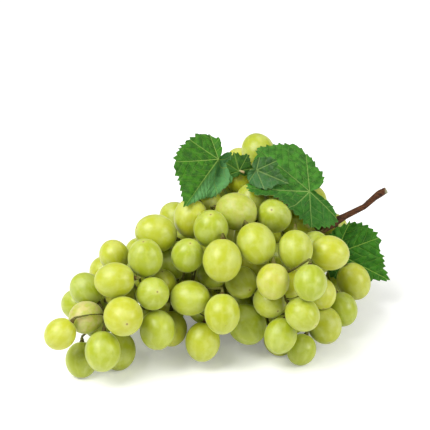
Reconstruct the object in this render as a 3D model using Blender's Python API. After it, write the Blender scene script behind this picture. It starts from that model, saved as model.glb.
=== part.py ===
"""A bunch of white table grapes lying on its side, with its stalk and the leaves picked with it.

The bunch is one grown stalk that forks into side branches, the berries that hang on them, and five leaves.
BRANCHES gives each berry a place to the nearest millimetre, branch by branch. Most of those places, the
plans of the three large leaves and the stalk's bare end are the rounded output of separate fitting programs,
in part changed by hand afterwards. The other places, mostly at the back, were chosen by hand.
settle() lets the berries press each other and the stalk aside, grow_stalk() finds the way that each berry's
stem takes back to the stalk through the gaps, and drape() lays each leaf over the berries under it.
Design units are millimetres, with X to the right, Y to the back and Z up from the table. The finished
pieces are in metres, with the origin under the middle of the bunch.
"""

import heapq
import math

import bmesh
import bpy
import numpy as np
from mathutils import Matrix, Vector

MM = 0.001  # metres
GAP = 0.3  # between separate pieces
PRESS = 1.6  # how deep berries grown as one clump press into each other
FLAT = 0.7  # how much of a resting berry the table flattens
ABOVE_TABLE = 1.0  # under the berries that don't rest
SETTLE_STEPS, LOOSE_STEPS = 700, 420  # the loose ones also draw each berry back to its own place
PUSH, HOME_PULL = 0.3, 0.03  # shares of an overlap and of a stray that one step undoes
LONGEST_MOVE = 1.2  # in one step
STEM_TURN, STEM_PUSH = 0.03, 0.15  # how fast a blocked stem end turns its berry and pushes what blocks it

SEGMENTS, RINGS = 10, 6  # of a berry
SIZES = {"s": (17.0, 18.6), "m": (18.4, 20.6), "l": (19.8, 22.8), "x": (21.6, 24.4)}  # width, length

LEFT, RIGHT, DOWN = (-1, -0.2, -0.2), (1, -0.3, -0.1), (0, -0.65, -0.76)
LEFT_UP, RIGHT_DOWN = (-0.9, -0.2, 0.4), (0.4, -0.7, -0.55)

# Each row is one solid: its berries as (size, x, y, z) with, where it isn't simply outward, the way that
# the berry points. Berries in one row grew pressed into each other.
BRANCHES = {
    "tip": (
        [("s", -84, -70, 34)],
        [("m", -75, -59, 9, DOWN)],
        [("l", -62, -70, 22, DOWN)],
        [("l", -56, -50, 12, DOWN)],
        [("s", -66, -40, 21), ("m", -79, -33, 29), ("m", -64, -24, 23), ("m", -63, -16, 44)],
        [("m", -72, -57, 35), ("m", -71, -41, 44)],
    ),
    "left": (
        [("l", -55, -52, 57, LEFT)],
        [("s", -57, -28, 59)],
        [("x", -50, -69, 44)],
        [("l", -39, -42, 65)],
        [("x", -33, -22, 69, LEFT_UP)],
        [("m", -34, -52, 49)],
        [("s", -55, -42, 42), ("s", -46, -30, 38), ("m", -46, -9, 34), ("s", -43, -13, 54)],
        [("s", -30, -36, 41), ("m", -26, -22, 50), ("m", -19, -6, 51), ("m", -30, 10, 42), ("s", -12, 8, 41)],
    ),
    "front": (
        [("m", -15, -36, 64)],
        [("l", -14, -48, 43, RIGHT)],
        [("l", -32, -59, 29, DOWN)],
        [("m", -25, -42, 19, DOWN)],
        [("l", -7, -51, 18, DOWN)],
        [("l", 4, -60, 40, DOWN)],
        [("x", 4, -46, 66, DOWN)],
        [("s", -24, -24, 21), ("m", -42, -17, 11), ("m", -33, 3, 18), ("m", -29, 20, 12)],
        [("s", -28, -12, 34), ("s", -12, -10, 34), ("m", -6, 6, 18), ("m", -10, 24, 10)],
        [("s", 0, -10, 58), ("m", -2, -27, 45), ("m", 16, -34, 44), ("m", 21, -16, 47), ("m", 38, -8, 46)],
        [("s", -9, -35, 30), ("m", -3, -28, 14), ("s", 15, -21, 24), ("m", 20, -1, 24), ("s", 5, -6, 21)],
        [("x", 18, -40, 21)],
    ),
    "top": (
        [("l", -3, -26, 75)],
        [("l", -13, -9, 73, DOWN)],
        [("l", -6, 9, 71, LEFT_UP)],
        [("x", 12, -11, 78, RIGHT)],
        [("x", 23, -34, 70, RIGHT_DOWN)],
        [("l", 34, -8, 74)],
        [("l", 21, 8, 72), ("m", 16, 24, 82), ("s", 4, 28, 69), ("s", 20, 26, 60)],
        [("l", 26, 45, 90), ("m", 24, 51, 72), ("m", 15, 68, 70)],
        [("s", 17, -6, 60), ("s", 31, 8, 54), ("l", 50, 9, 61), ("m", 58, 25, 68), ("l", 46, 41, 72)],
    ),
    "right": (
        [("l", 45, -34, 66, DOWN)],
        [("l", 65, -25, 59, RIGHT)],
        [("m", 32, -52, 56, DOWN)],
        [("m", 52, -58, 58, DOWN)],
        [("s", 43, -32, 45), ("m", 29, -46, 38)],
        [("m", 48, -60, 40)],
        [("m", 37, -58, 25, DOWN)],
        [("m", 45, -36, 25), ("s", 33, -36, 9), ("s", 51, -48, 12, DOWN)],
        [("s", 61, -28, 34), ("l", 63, -34, 16), ("m", 74, -19, 18)],
        [("l", 82, -1, 26)],
        [("m", 36, -10, 10), ("m", 44, -13, 29), ("s", 30, -24, 31)],
        [("s", 57, -9, 56), ("m", 62, 5, 39), ("s", 46, 5, 29)],
    ),
    "back": (
        [("m", -25, 15, 61), ("m", -10, 26, 52), ("l", -9, 24, 32), ("m", 10, 20, 29)],
        [("l", 8, 40, 11), ("m", 8, 42, 32), ("l", 6, 45, 53)],
        [("s", 27, 48, 38), ("m", 14, 62, 44), ("l", 12, 60, 23), ("m", 30, 64, 10), ("s", 44, 63, 19)],
        [("m", 52, 50, 54), ("l", 34, 62, 54), ("m", 34, 68, 32)],
        [("l", 50, 52, 10), ("m", 54, 50, 32), ("m", 67, 36, 24)],
        [("s", 60, 22, 11), ("m", 77, 28, 13), ("m", 79, 32, 34), ("m", 70, 40, 49), ("m", 54, 28, 48)],
        [("m", 10, 13, 48), ("m", 28, 28, 52), ("m", 30, 35, 32), ("m", 34, 28, 11), ("m", 48, 23, 25)],
    ),
}
RESTS_BELOW = 13.5  # a berry placed lower than this lies on the table

# The stalk, from its cut end to the bunch's tip, as (x, y, z, radius).
STALK = (
    (101, 22, 75, 1.9), (97, 21, 73, 2.3), (94, 20, 71, 1.9), (88, 18, 66, 1.7), (77, 14, 62, 1.9),
    (68, 11, 58, 2.9), (64, 11, 55, 2.6), (55, 13, 47, 2.1), (44, 13, 43, 2.0), (28, 8, 39, 1.9),
    (10, -5, 37, 1.8), (-10, -25, 33, 1.6), (-33, -37, 33, 1.5), (-52, -46, 31, 1.3), (-64, -50, 29, 1.1),
)
STEM_R, STEM_GROWTH = 0.75, 0.3  # a stem's radius where it holds one berry, and the power that it grows by
COLLAR_R = 1.4  # where a stem meets its berry
STUB = 3.0  # how far a stem runs straight out of its berry
THINNEST = 0.45  # a stem's least radius
CELL = 1.8  # of the grid that the stems find their way through
STEM_ROOM = 1.15  # the least clearance that a stem's middle keeps from a berry
FARTHEST_OUT = 9.0  # a stem stays this close to the berries
TIGHT_COST = 0.6  # how much a stem's way costs more, at 1 mm from a berry
BARE_COST = 3.0  # how much a stem's way costs more where no berries are round it
CROWD_REACH = 22.0  # how far away a berry still counts as being round a stem
SHOWN = (0.0, -0.88, 0.47)  # the side of the bunch where berries lie over the stems
FIRST_FORK = 4  # the stalk's first stretch, this many points long, bears no stems
STRAY = 0.8  # how far a stem's tube may stray from the way found for it
SHORTEST = 3.5  # stretch of tube between two rings
STALK_SIDES, STEM_SIDES, PETIOLE_SIDES = 8, 5, 6

LEAF_THICK = 0.6
LEAF_LIFT = 1.8  # from the middle of a leaf's thickness to the berry that it lies on
LEAF_CELL = 7.5  # the mesh size of a leaf
# Each leaf: where its stem joins it, its tip, a point on the half that faces up, the outline as (angle from
# the midrib in degrees, length) round its two halves, how far each half folds down, and its cupping. A
# young leaf's stem is short and stated, and the others' stems find their own way into the bunch.
LEAVES = {
    "leaf_left": dict(
        base=(2, 24, 94), tip=(-19, -15, 81), side=(-21, 8, 97),
        up=((0, 46), (11, 36), (23, 31), (36, 30), (52, 27), (71, 23), (93, 20), (123, 18), (150, 13),
            (172, 3)),
        down=((12, 36), (26, 30), (40, 29), (58, 26), (78, 24), (100, 21), (125, 18), (150, 12), (172, 3)),
        folds=(6, 55), cup=3),
    "leaf_right": dict(
        base=(55, 12, 79), tip=(18, 2, 86), side=(27, 32, 100),
        up=((0, 39), (9, 36), (26, 35), (42, 38), (52, 41), (60, 38), (72, 37), (90, 32), (101, 26),
            (115, 20), (139, 15), (160, 9), (174, 2)),
        down=((10, 36), (22, 30), (34, 26), (50, 25), (70, 22), (92, 21), (118, 24), (140, 25), (156, 20),
              (170, 4)),
        folds=(4, 22), cup=3),
    "leaf_low": dict(
        base=(73, 17, 35), tip=(103, 15, 19), side=(92, 23, 46),
        up=((0, 36), (9, 30), (20, 28), (33, 25), (44, 27), (58, 26), (72, 24), (88, 22), (111, 18),
            (132, 15), (170, 3)),
        down=((8, 28), (16, 25), (30, 21), (45, 18), (70, 15), (100, 11), (130, 9), (170, 3)),
        folds=(2, 6), cup=-2, hangs=True),
    "leaf_young_dark": dict(
        base=(14, 15, 91), tip=(11, 19, 101), side=(21, 17, 96),
        up=((0, 11), (25, 9), (45, 11), (75, 8), (100, 9), (140, 5), (170, 2)),
        down=((25, 8), (45, 9), (75, 6), (100, 6), (140, 4), (170, 2)),
        folds=(15, 20), cup=1, stem=((17, 13, 91),)),
    "leaf_young_silver": dict(
        base=(24, 12, 93), tip=(41, 8, 87), side=(32, 15, 100),
        up=((0, 20), (14, 14), (30, 12), (50, 13), (80, 9), (110, 7), (140, 5), (170, 2)),
        down=((14, 14), (30, 14), (50, 12), (80, 10), (110, 8), (140, 5), (170, 2)),
        folds=(10, 25), cup=1, stem=((20, 11, 93),)),
}
PETIOLE_R = 0.9


def unit(v):
    """The vectors scaled to length 1, along the last axis."""
    return v / np.maximum(np.linalg.norm(v, axis=-1, keepdims=True), 1e-9)


def nearest_on_stalk(points):
    """For each point, the nearest point of the stalk's centre line and the stalk's radius there."""
    line = np.array(STALK, float)
    best = np.full(len(points), 1e9)
    where = np.zeros((len(points), 4))
    for start, end in zip(line[:-1], line[1:]):
        run = end[:3] - start[:3]
        share = np.clip(((points - start[:3]) @ run) / (run @ run), 0, 1)[:, None]
        found = start + (end - start) * share
        far = np.linalg.norm(points - found[:, :3], axis=1)
        where[far < best] = found[far < best]
        best = np.minimum(best, far)
    return where[:, :3], where[:, 3]


class Berries:
    """Every berry as an ellipsoid: its centre, unit axis from stem end to far end, and half its two sizes."""

    def __init__(self):
        rows = [(name, k, row) for name, rows in BRANCHES.items() for k, row in enumerate(rows)]
        flat = [(name, k, berry) for name, k, row in rows for berry in row]
        self.solid = [(name, k) for name, k, _ in flat]
        self.centre = np.array([berry[1:4] for _, _, berry in flat], float)
        half = np.array([SIZES[berry[0]] for _, _, berry in flat]) / 2
        self.wide, self.long = half[:, 0], half[:, 1]
        root, _ = nearest_on_stalk(self.centre)
        outward = unit(self.centre - root) + np.array((0, 0, -0.35))
        for i, (_, _, berry) in enumerate(flat):
            if len(berry) > 4:
                outward[i] = berry[4]
        self.axis = unit(outward)
        count = len(flat)
        self.grown_together = np.zeros((count, count), bool)
        for i in range(count - 1):
            together = self.solid[i] == self.solid[i + 1]
            self.grown_together[i, i + 1] = self.grown_together[i + 1, i] = together
        self.rests = self.centre[:, 2] < RESTS_BELOW

    def reach(self, ways):
        """How far each berry extends along a direction: ways is (berries, ..., 3)."""
        axis = self.axis.reshape(len(self.axis), *([1] * (ways.ndim - 2)), 3)
        turn = (axis * ways).sum(axis=-1)
        wide, length = (half.reshape(len(half), *([1] * (ways.ndim - 2))) for half in (self.wide, self.long))
        return np.sqrt(wide**2 + (length**2 - wide**2) * turn**2)

    def stem_end(self, out=0.0):
        return self.centre - self.axis * (self.long + out)[:, None]

    def clearance(self, points):
        """For each point, how far it is outside the nearest berry, and the way straight out of that berry."""
        offset = points[:, None] - self.centre[None]
        along = (offset * self.axis[None]).sum(axis=-1)
        across = np.linalg.norm(offset - along[..., None] * self.axis[None], axis=-1)
        spread = np.sqrt((across / self.wide) ** 2 + (along / self.long) ** 2)
        size = np.linalg.norm(offset, axis=-1)
        outside = size * (1 - 1 / np.maximum(spread, 1e-6))
        nearest = outside.argmin(axis=1)
        rows = np.arange(len(points))
        side = offset[rows, nearest]
        turn = (side * self.axis[nearest]).sum(axis=1)[:, None] * self.axis[nearest]
        normal = unit((side - turn) / self.wide[nearest, None] ** 2 + turn / self.long[nearest, None] ** 2)
        return outside[rows, nearest], normal


def settle(berries):
    """Moves the berries by small steps until they only touch, as near as can be to where they were placed."""
    home = berries.centre.copy()
    count = len(home)
    for step in range(SETTLE_STEPS):
        loose = step < LOOSE_STEPS
        offset = berries.centre[:, None] - berries.centre[None]
        dist = np.linalg.norm(offset, axis=-1) + np.eye(count) * 1e3
        ways = offset / dist[..., None]
        reach = berries.reach(ways)
        need = reach + reach.T + np.where(berries.grown_together, -PRESS, GAP + 0.05)
        push = np.where(berries.grown_together, need - dist, np.maximum(need - dist, 0))
        move = (ways * push[..., None]).sum(axis=1) * PUSH

        root, radius = nearest_on_stalk(berries.centre)
        away = berries.centre - root
        far = np.linalg.norm(away, axis=1)
        way = away / far[:, None]
        inside = berries.reach(way[:, None])[:, 0] + radius + GAP + 0.5 - far
        move += way * np.maximum(inside, 0)[:, None] * 0.5

        stub = berries.stem_end(STUB)
        apart = stub[:, None] - berries.centre[None]
        gap = np.linalg.norm(apart, axis=-1) + np.eye(count) * 1e3
        toward = apart / gap[..., None]
        blocked = np.maximum(berries.reach(toward.transpose(1, 0, 2)).T + COLLAR_R + 0.6 - gap, 0)
        turn = (toward * blocked[..., None]).sum(axis=1)
        berries.axis = unit(berries.axis - turn * (STEM_TURN if loose else STEM_TURN / 3))
        move -= (toward * blocked[..., None]).sum(axis=0) * STEM_PUSH

        if loose:
            move += (home - berries.centre) * HOME_PULL
        berries.centre += np.clip(move, -LONGEST_MOVE, LONGEST_MOVE)
        down = np.tile((0.0, 0.0, -1.0), (count, 1, 1))
        low = berries.reach(down)[:, 0]
        height = berries.centre[:, 2]
        berries.centre[:, 2] = np.where(berries.rests, low - FLAT, np.maximum(height, low + ABOVE_TABLE))
    return berries


def grow_stalk(berries, ends):
    """Finds the shortest way through the gaps from each end back to the stalk.

    Returns the points, each point's parent (-1 at the stalk's cut end) and how many ends each point carries.
    """
    low = berries.centre.min(axis=0) - 14
    low[2] = 1.5
    high = berries.centre.max(axis=0) + (30, 14, 14)
    shape = np.ceil((high - low) / CELL).astype(int)
    grid = np.stack(np.meshgrid(*[np.arange(n) for n in shape], indexing="ij"), axis=-1).reshape(-1, 3)
    places = low + grid * CELL
    lots = np.array_split(places, 60)
    outside = np.concatenate([berries.clearance(lot)[0] for lot in lots])
    open_cell = (outside > STEM_ROOM) & (outside < FARTHEST_OUT)
    edge = (grid == 0).any(axis=1) | (grid == shape - 1).any(axis=1)
    open_cell &= ~edge

    # The stalk is a chain of points of its own, and the search starts from all of them at once.
    line = np.array(STALK, float)[:, :3]
    chain = [line[0]]
    for start, end in zip(line[:-1], line[1:]):
        parts = max(1, round(float(np.linalg.norm(end - start)) / 3))
        chain += [start + (end - start) * k / parts for k in range(1, parts + 1)]
    chain = np.array(chain)

    def cell_of(point):
        at = np.clip(np.round((point - low) / CELL), 0, shape - 1).astype(int)
        return int(np.ravel_multi_index(at, shape))

    near = (-1, 0, 1)
    step = np.array([(i, j, k) for i in near for j in near for k in near if (i, j, k) != (0, 0, 0)])
    strides = (step @ np.array((shape[1] * shape[2], shape[2], 1))).tolist()
    lengths = (np.linalg.norm(step, axis=1) * CELL).tolist()
    is_open = open_cell.tolist()
    crowd = []
    for lot in lots:
        to_berry = berries.centre[None] - lot[:, None]
        dist = np.linalg.norm(to_berry, axis=-1)
        over = (1 + (to_berry @ np.array(SHOWN)) / dist) / 2
        crowd.append((over**2 * np.exp(-((dist / CROWD_REACH) ** 2))).sum(axis=1))
    crowd = np.concatenate(crowd)
    bare = 1 - crowd / crowd.max()
    dear = ((1 + TIGHT_COST / np.maximum(outside, 0.5)) * (1 + BARE_COST * bare)).tolist()
    cost, came_from, queue = {}, {}, []
    for k, point in enumerate(chain[FIRST_FORK:], start=FIRST_FORK):
        cell = cell_of(point)
        cost[cell] = 0.0
        came_from[cell] = -1 - k
        heapq.heappush(queue, (0.0, cell))
    while queue:
        spent, cell = heapq.heappop(queue)
        if spent > cost[cell]:
            continue
        for stride, length in zip(strides, lengths):
            other = cell + stride
            if not is_open[other]:
                continue
            total = spent + length * dear[other]
            if total < cost.get(other, 1e9):
                cost[other] = total
                came_from[other] = cell
                heapq.heappush(queue, (total, other))

    reached = np.array(sorted(cost))
    reached_at = places[reached]
    points, parent, of_cell = list(chain), list(range(-1, len(chain) - 1)), {}

    def add(cell):
        """The index of a cell's point, once its whole way back to the stalk is in the list."""
        if cell < 0:
            return -1 - cell
        if cell not in of_cell:
            before = add(came_from[cell])
            points.append(places[cell])
            parent.append(before)
            of_cell[cell] = len(points) - 1
        return of_cell[cell]

    tips = []
    for end in ends:
        cell = int(reached[np.linalg.norm(reached_at - end, axis=1).argmin()])
        before = add(cell)
        points.append(np.array(end))
        parent.append(before)
        tips.append(len(points) - 1)
    points, parent = np.array(points), np.array(parent)
    load = np.zeros(len(points), int)
    for tip in tips:
        walk = tip
        while walk >= 0:
            load[walk] += 1
            walk = parent[walk]
    return points, parent, load, len(chain), tips


def lone_ways(parent, load, fixed, tips):
    """For each tip, the indices of its points back to the first fork."""
    ways = []
    for tip in tips:
        way, walk = [], tip
        while walk >= fixed and load[walk] == 1:
            way.append(walk)
            walk = parent[walk]
        ways.append(way)
    return ways


def without(points, parent, load, gone):
    """The tree without some of its end points."""
    keep = np.ones(len(points), bool)
    keep[gone] = False
    number = np.cumsum(keep) - 1
    return points[keep], np.array([number[k] if k >= 0 else -1 for k in parent[keep]]), load[keep]


def smooth_stems(berries, points, parent, load, fixed, rounds=60):
    """Straightens the ways through the gaps, and gives each point the radius that its load and room allow."""
    count = len(points)
    wanted = STEM_R * np.maximum(load, 1) ** STEM_GROWTH
    inner = np.arange(fixed, count)
    up = parent[inner]
    for _ in range(rounds):
        total, weight = np.zeros((count, 3)), np.zeros(count)
        np.add.at(total, up, points[inner])
        np.add.at(weight, up, 1)
        has_child = weight > 0
        below = total / np.maximum(weight, 1)[:, None]
        moving = inner[has_child[inner]]
        points[moving] += 0.5 * ((points[parent[moving]] + below[moving]) / 2 - points[moving])
        outside, way = berries.clearance(points[moving])
        short = np.maximum(wanted[moving] + 0.7 - outside, 0)
        points[moving] += way * np.minimum(short, 0.6)[:, None]
    outside, _ = berries.clearance(points)
    radius = np.minimum(wanted, outside - 0.5)
    line = np.array(STALK, float)
    for k in range(fixed):
        radius[k] = line[np.linalg.norm(line[:, :3] - points[k], axis=1).argmin(), 3]
    return np.maximum(radius, THINNEST)


def runs_of(points, parent, load, fixed):
    """The tree as a chain of points for each stem: at a fork, the one that carries most goes straight on."""
    heir = {}
    for k in range(fixed, len(points)):
        before = parent[k]
        if before >= fixed and (before not in heir or load[k] > load[heir[before]]):
            heir[before] = k
    runs = []
    for k in range(fixed, len(points)):
        before = parent[k]
        if before >= fixed and heir[before] == k:
            continue
        run = [before, k]
        while run[-1] in heir:
            run.append(heir[run[-1]])
        runs.append(run)
    return runs


def nearest_on_line(line, point):
    """The nearest place to the point on a chain of straight stretches."""
    best, where = 1e9, line[0]
    for start, end in zip(line[:-1], line[1:]):
        run = end - start
        share = min(max(float((point - start) @ run) / max(float(run @ run), 1e-9), 0), 1)
        found = start + run * share
        far = float(np.linalg.norm(point - found))
        if far < best:
            best, where = far, found
    return where


def simplified(way):
    """The fewest points of a way that stay within STRAY of it and at least SHORTEST apart."""
    if len(way) < 3 or np.linalg.norm(way[-1] - way[0]) < 2 * SHORTEST:
        return [way[0], way[-1]]
    strays = [float(np.linalg.norm(point - nearest_on_line([way[0], way[-1]], point))) for point in way]
    allowed = [
        k for k in range(1, len(way) - 1)
        if min(np.linalg.norm(way[k] - way[0]), np.linalg.norm(way[k] - way[-1])) >= SHORTEST
    ]
    if not allowed or max(strays) < STRAY:
        return [way[0], way[-1]]
    split = max(allowed, key=lambda k: strays[k])
    return simplified(way[: split + 1])[:-1] + simplified(way[split:])


def stems_of(berries, points, parent, load, fixed, radius):
    """Each stem's tube as (points, radii), starting inside the stem that it forks from."""
    stems, home = [], {}
    for run in runs_of(points, parent, load, fixed):
        way = [points[k] for k in run]
        if run[0] in home:
            way[0] = nearest_on_line(stems[home[run[0]]][0], way[0])
        kept = simplified(way)
        sizes = []
        for k, point in enumerate(kept):
            size = radius[run[int(np.linalg.norm(points[run] - point, axis=1).argmin())]]
            around = [point]
            if k > 0:
                around += [point + (kept[k - 1] - point) * share for share in (0.25, 0.5)]
            if k < len(kept) - 1:
                around += [point + (kept[k + 1] - point) * share for share in (0.25, 0.5)]
            outside, _ = berries.clearance(np.array(around))
            sizes.append(max(min(size, outside.min() - 0.4), 0.4))
        if len(sizes) > 1:
            sizes[0] = min(sizes[0], sizes[1])
        for k in run[1:]:
            home[k] = len(stems)
        stems.append((kept, sizes))
    return stems


def material(name, colour, roughness):
    made = bpy.data.materials.new(name)
    made.use_nodes = True
    shader = made.node_tree.nodes["Principled BSDF"]
    shader.inputs["Base Color"].default_value = (*colour, 1)
    shader.inputs["Roughness"].default_value = roughness
    return made


def placed(name, mesh, finish, location=(0, 0, 0), helper=False):
    """The mesh as an object of the scene. A helper is only there for the object that it is joined to."""
    mesh.materials.append(finish)
    obj = bpy.data.objects.new(name, mesh)
    obj.location = Vector(location)
    bpy.context.scene.collection.objects.link(obj)
    if helper:
        obj.hide_render = True
        obj.display_type = "WIRE"
    return obj


def join(obj, other, solver="EXACT"):
    """Joins the other object to this one, as a modifier that stays on it."""
    cut = obj.modifiers.new("join " + other.name, "BOOLEAN")
    cut.operation = "UNION"
    cut.solver = solver
    cut.object = other


def berry_mesh(name, berries, i):
    """One berry about its own centre, with the flat that the table gives a resting one."""
    bm = bmesh.new()
    bmesh.ops.create_uvsphere(bm, u_segments=SEGMENTS, v_segments=RINGS, radius=1)
    turn = Vector(berries.axis[i]).to_track_quat("Z", "Y").to_matrix().to_4x4()
    size = Matrix.Diagonal((berries.wide[i], berries.wide[i], berries.long[i], 1))
    bmesh.ops.transform(bm, matrix=turn @ size, verts=bm.verts)
    if berries.rests[i]:
        whole = bm.verts[:] + bm.edges[:] + bm.faces[:]
        table = (0, 0, -berries.centre[i, 2])
        bmesh.ops.bisect_plane(bm, geom=whole, plane_co=table, plane_no=(0, 0, -1), clear_outer=True)
        bmesh.ops.holes_fill(bm, edges=[e for e in bm.edges if e.is_boundary])
    bmesh.ops.scale(bm, vec=(MM, MM, MM), verts=bm.verts)
    bmesh.ops.recalc_face_normals(bm, faces=bm.faces)
    mesh = bpy.data.meshes.new(name)
    bm.to_mesh(mesh)
    bm.free()
    mesh.shade_smooth()
    return mesh


def make_berries(berries, skin):
    """A solid for each row of BRANCHES: one berry, or a clump whose berries are joined."""
    numbers = {}
    for i, solid in enumerate(berries.solid):
        numbers.setdefault(solid, []).append(i)
    for (branch, row), members in numbers.items():
        kind = "berry" if len(members) == 1 else "berries"
        name = f"{kind}_{branch}_{row + 1}"
        pieces = [
            placed(name if k == 0 else f"{name}_part{k}", berry_mesh(name, berries, i), skin,
                   berries.centre[i] * MM, helper=k > 0)
            for k, i in enumerate(members)
        ]
        for other in pieces[1:]:
            join(pieces[0], other)


def tube_mesh(name, points, radii, sides):
    """A closed tube along the points, with a ring of its own radius at each."""
    points = np.asarray(points, float)
    ways = unit(np.gradient(points, axis=0))
    side = unit(np.cross(ways[0], (0.3, 0.2, 0.9)))
    bm = bmesh.new()
    rings = []
    for point, way, radius in zip(points, ways, radii):
        side = unit(side - way * (side @ way))
        other = np.cross(way, side)
        angles = [2 * math.pi * k / sides for k in range(sides)]
        rings.append([
            bm.verts.new(Vector((point + radius * (math.cos(a) * side + math.sin(a) * other)) * MM))
            for a in angles
        ])
    for first, second in zip(rings[:-1], rings[1:]):
        for k in range(sides):
            bm.faces.new((first[k], first[k - 1], second[k - 1], second[k]))
    bm.faces.new(rings[0])
    bm.faces.new(rings[-1])
    bmesh.ops.recalc_face_normals(bm, faces=bm.faces)
    mesh = bpy.data.meshes.new(name)
    bm.to_mesh(mesh)
    bm.free()
    mesh.shade_smooth()
    return mesh


def make_stalk(berries, stems, bark):
    """The stalk with every side branch and berry stem, grown as one piece."""
    line = np.array(STALK, float)
    stalk = placed("stalk", tube_mesh("stalk", line[:, :3], line[:, 3], STALK_SIDES), bark)
    branches = bpy.data.collections.new("side branches")
    bpy.context.scene.collection.children.link(branches)
    branches.hide_render = True
    for number, (places, sizes) in enumerate(stems):
        berry = int(np.linalg.norm(berries.stem_end(STUB) - places[-1], axis=1).argmin())
        places = [*places, berries.stem_end(GAP + 0.15)[berry]]
        mesh = tube_mesh(f"branch_{number}", places, [*sizes, COLLAR_R], STEM_SIDES)
        branch = bpy.data.objects.new(f"branch_{number}", mesh)
        branch.display_type = "WIRE"
        branch.hide_render = True
        branches.objects.link(branch)
    grow = stalk.modifiers.new("side branches", "BOOLEAN")
    grow.operation = "UNION"
    grow.solver = "MANIFOLD"
    grow.operand_type = "COLLECTION"
    grow.collection = branches
    return stalk


class Leaf:
    """A leaf's blade as a fan of rays from its base, crossed by rings out to its outline."""

    def __init__(self, plan):
        self.base, tip, side = (np.array(plan[key], float) for key in ("base", "tip", "side"))
        self.midrib = unit(tip - self.base)
        self.normal = unit(np.cross(self.midrib, side - self.base))
        if self.normal @ (0, -0.5, 1) < 0:
            self.normal = -self.normal
        self.side = unit((side - self.base) - self.midrib * ((side - self.base) @ self.midrib))
        self.folds = np.radians(plan["folds"])
        self.cup = plan["cup"]
        self.stated_stem = plan.get("stem")
        self.hangs = plan.get("hangs", False)
        down = [(-angle, length) for angle, length in reversed(plan["down"])]
        corners = [*down, *plan["up"], (180, plan["up"][-1][1])]
        angles, lengths = [], []
        for (a, first), (b, second) in zip(corners[:-1], corners[1:]):
            parts = max(1, round(math.radians(b - a) * max(first, second) / LEAF_CELL))
            for k in range(1, parts + 1):
                angles.append(a + (b - a) * k / parts)
                lengths.append(first + (second - first) * k / parts)
        self.angles, self.lengths = np.radians(angles), np.array(lengths)
        self.longest = self.lengths.max()
        self.rings = max(3, round(self.longest / LEAF_CELL))

    def points(self):
        """The blade's points before it is draped, as (rings, rays, 3)."""
        share = (np.arange(1, self.rings + 1) / self.rings)[:, None]
        out = share * self.lengths
        along, across = out * np.cos(self.angles), out * np.abs(np.sin(self.angles))
        upper = np.sin(self.angles) > 0
        fold = np.where(upper, self.folds[0], self.folds[1])
        sign = np.where(upper, 1.0, -1.0)
        lift = -across * np.sin(fold) - self.cup * (out / self.longest) ** 2
        return (
            self.base
            + along[..., None] * self.midrib
            + (across * sign * np.cos(fold))[..., None] * self.side
            + lift[..., None] * self.normal
        )


def room_at(points, berries, others):
    """How far each point is from the nearest berry, stem or leaf already in place, and the way off it."""
    room, way = berries.clearance(points)
    for places, radius in others:
        offset = points[:, None] - places[None]
        apart = np.linalg.norm(offset, axis=-1)
        nearest = apart.argmin(axis=1)
        rows = np.arange(len(points))
        closer = apart[rows, nearest] - radius < room
        room = np.where(closer, apart[rows, nearest] - radius, room)
        way = np.where(closer[:, None], unit(offset[rows, nearest]), way)
    return room, way


def drape(leaf, berries, others):
    """Lays the blade over what is under it and clear of what is over it, its height changing gently."""
    flat = leaf.points()
    rise = np.zeros(flat.shape[:2])
    for turn in range(5):
        for _ in range(50):
            at = (flat + rise[..., None] * leaf.normal).reshape(-1, 3)
            room, way = room_at(at, berries, others)
            side = np.where(leaf.hangs & (way @ leaf.normal < 0), -1.0, 1.0)
            rise += (np.maximum(LEAF_LIFT - room, 0) * side).reshape(rise.shape) * 0.5
        middle = rise[0].mean()
        if turn < 4:
            inner = np.vstack([np.full((1, rise.shape[1]), middle), rise[:-1]])
            outer = np.vstack([rise[1:], rise[-1:]])
            level = (inner + outer + np.roll(rise, 1, axis=1) + np.roll(rise, -1, axis=1)) / 4
            rise = (rise + level) / 2
    centre = leaf.base + middle * leaf.normal
    return centre, flat + rise[..., None] * leaf.normal


def blade_points(centre, grid):
    """Points all over a blade, close enough together to stand for it."""
    whole = np.concatenate([np.broadcast_to(centre, (1, *grid.shape[1:])), grid])
    shares = (0, 0.33, 0.67)
    ringed = [whole[:-1] * (1 - k) + whole[1:] * k for k in shares]
    between = [ring * (1 - k) + np.roll(ring, 1, axis=1) * k for ring in (*ringed, whole[1:]) for k in shares]
    return np.concatenate([ring.reshape(-1, 3) for ring in between])


def petiole_way(leaf, centre, found, berries, others):
    """The leaf stem's points, from just through the blade to just short of the stalk, with their radii."""
    way = [centre + leaf.normal * 0.5, centre - leaf.normal * 2.5]
    if leaf.stated_stem:
        way = [way[0], *(np.array(point, float) for point in leaf.stated_stem)]
    else:
        way += list(found)
    way = [way[0], *simplified(way[1:])] if len(way) > 3 else way
    steps = []
    for start, end in zip(way[:-1], way[1:]):
        parts = max(1, round(float(np.linalg.norm(end - start)) / 3.5))
        steps += [start + (end - start) * k / parts for k in range(parts)]
    steps = np.array([*steps, way[-1]])
    for _ in range(30):
        inner = steps[2:]
        outside, out = berries.clearance(inner)
        inner += out * np.clip(PETIOLE_R + 0.6 - outside, 0, 0.4)[:, None]
        inner[:-1] += 0.3 * ((steps[1:-2] + steps[3:]) / 2 - inner[:-1])
    kept = len(steps)
    while kept > 3 and room_at(steps[kept - 2 : kept], berries, others)[0].min() < PETIOLE_R + GAP + 0.2:
        kept -= 1
    return steps[:kept], np.full(kept, PETIOLE_R)


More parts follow.
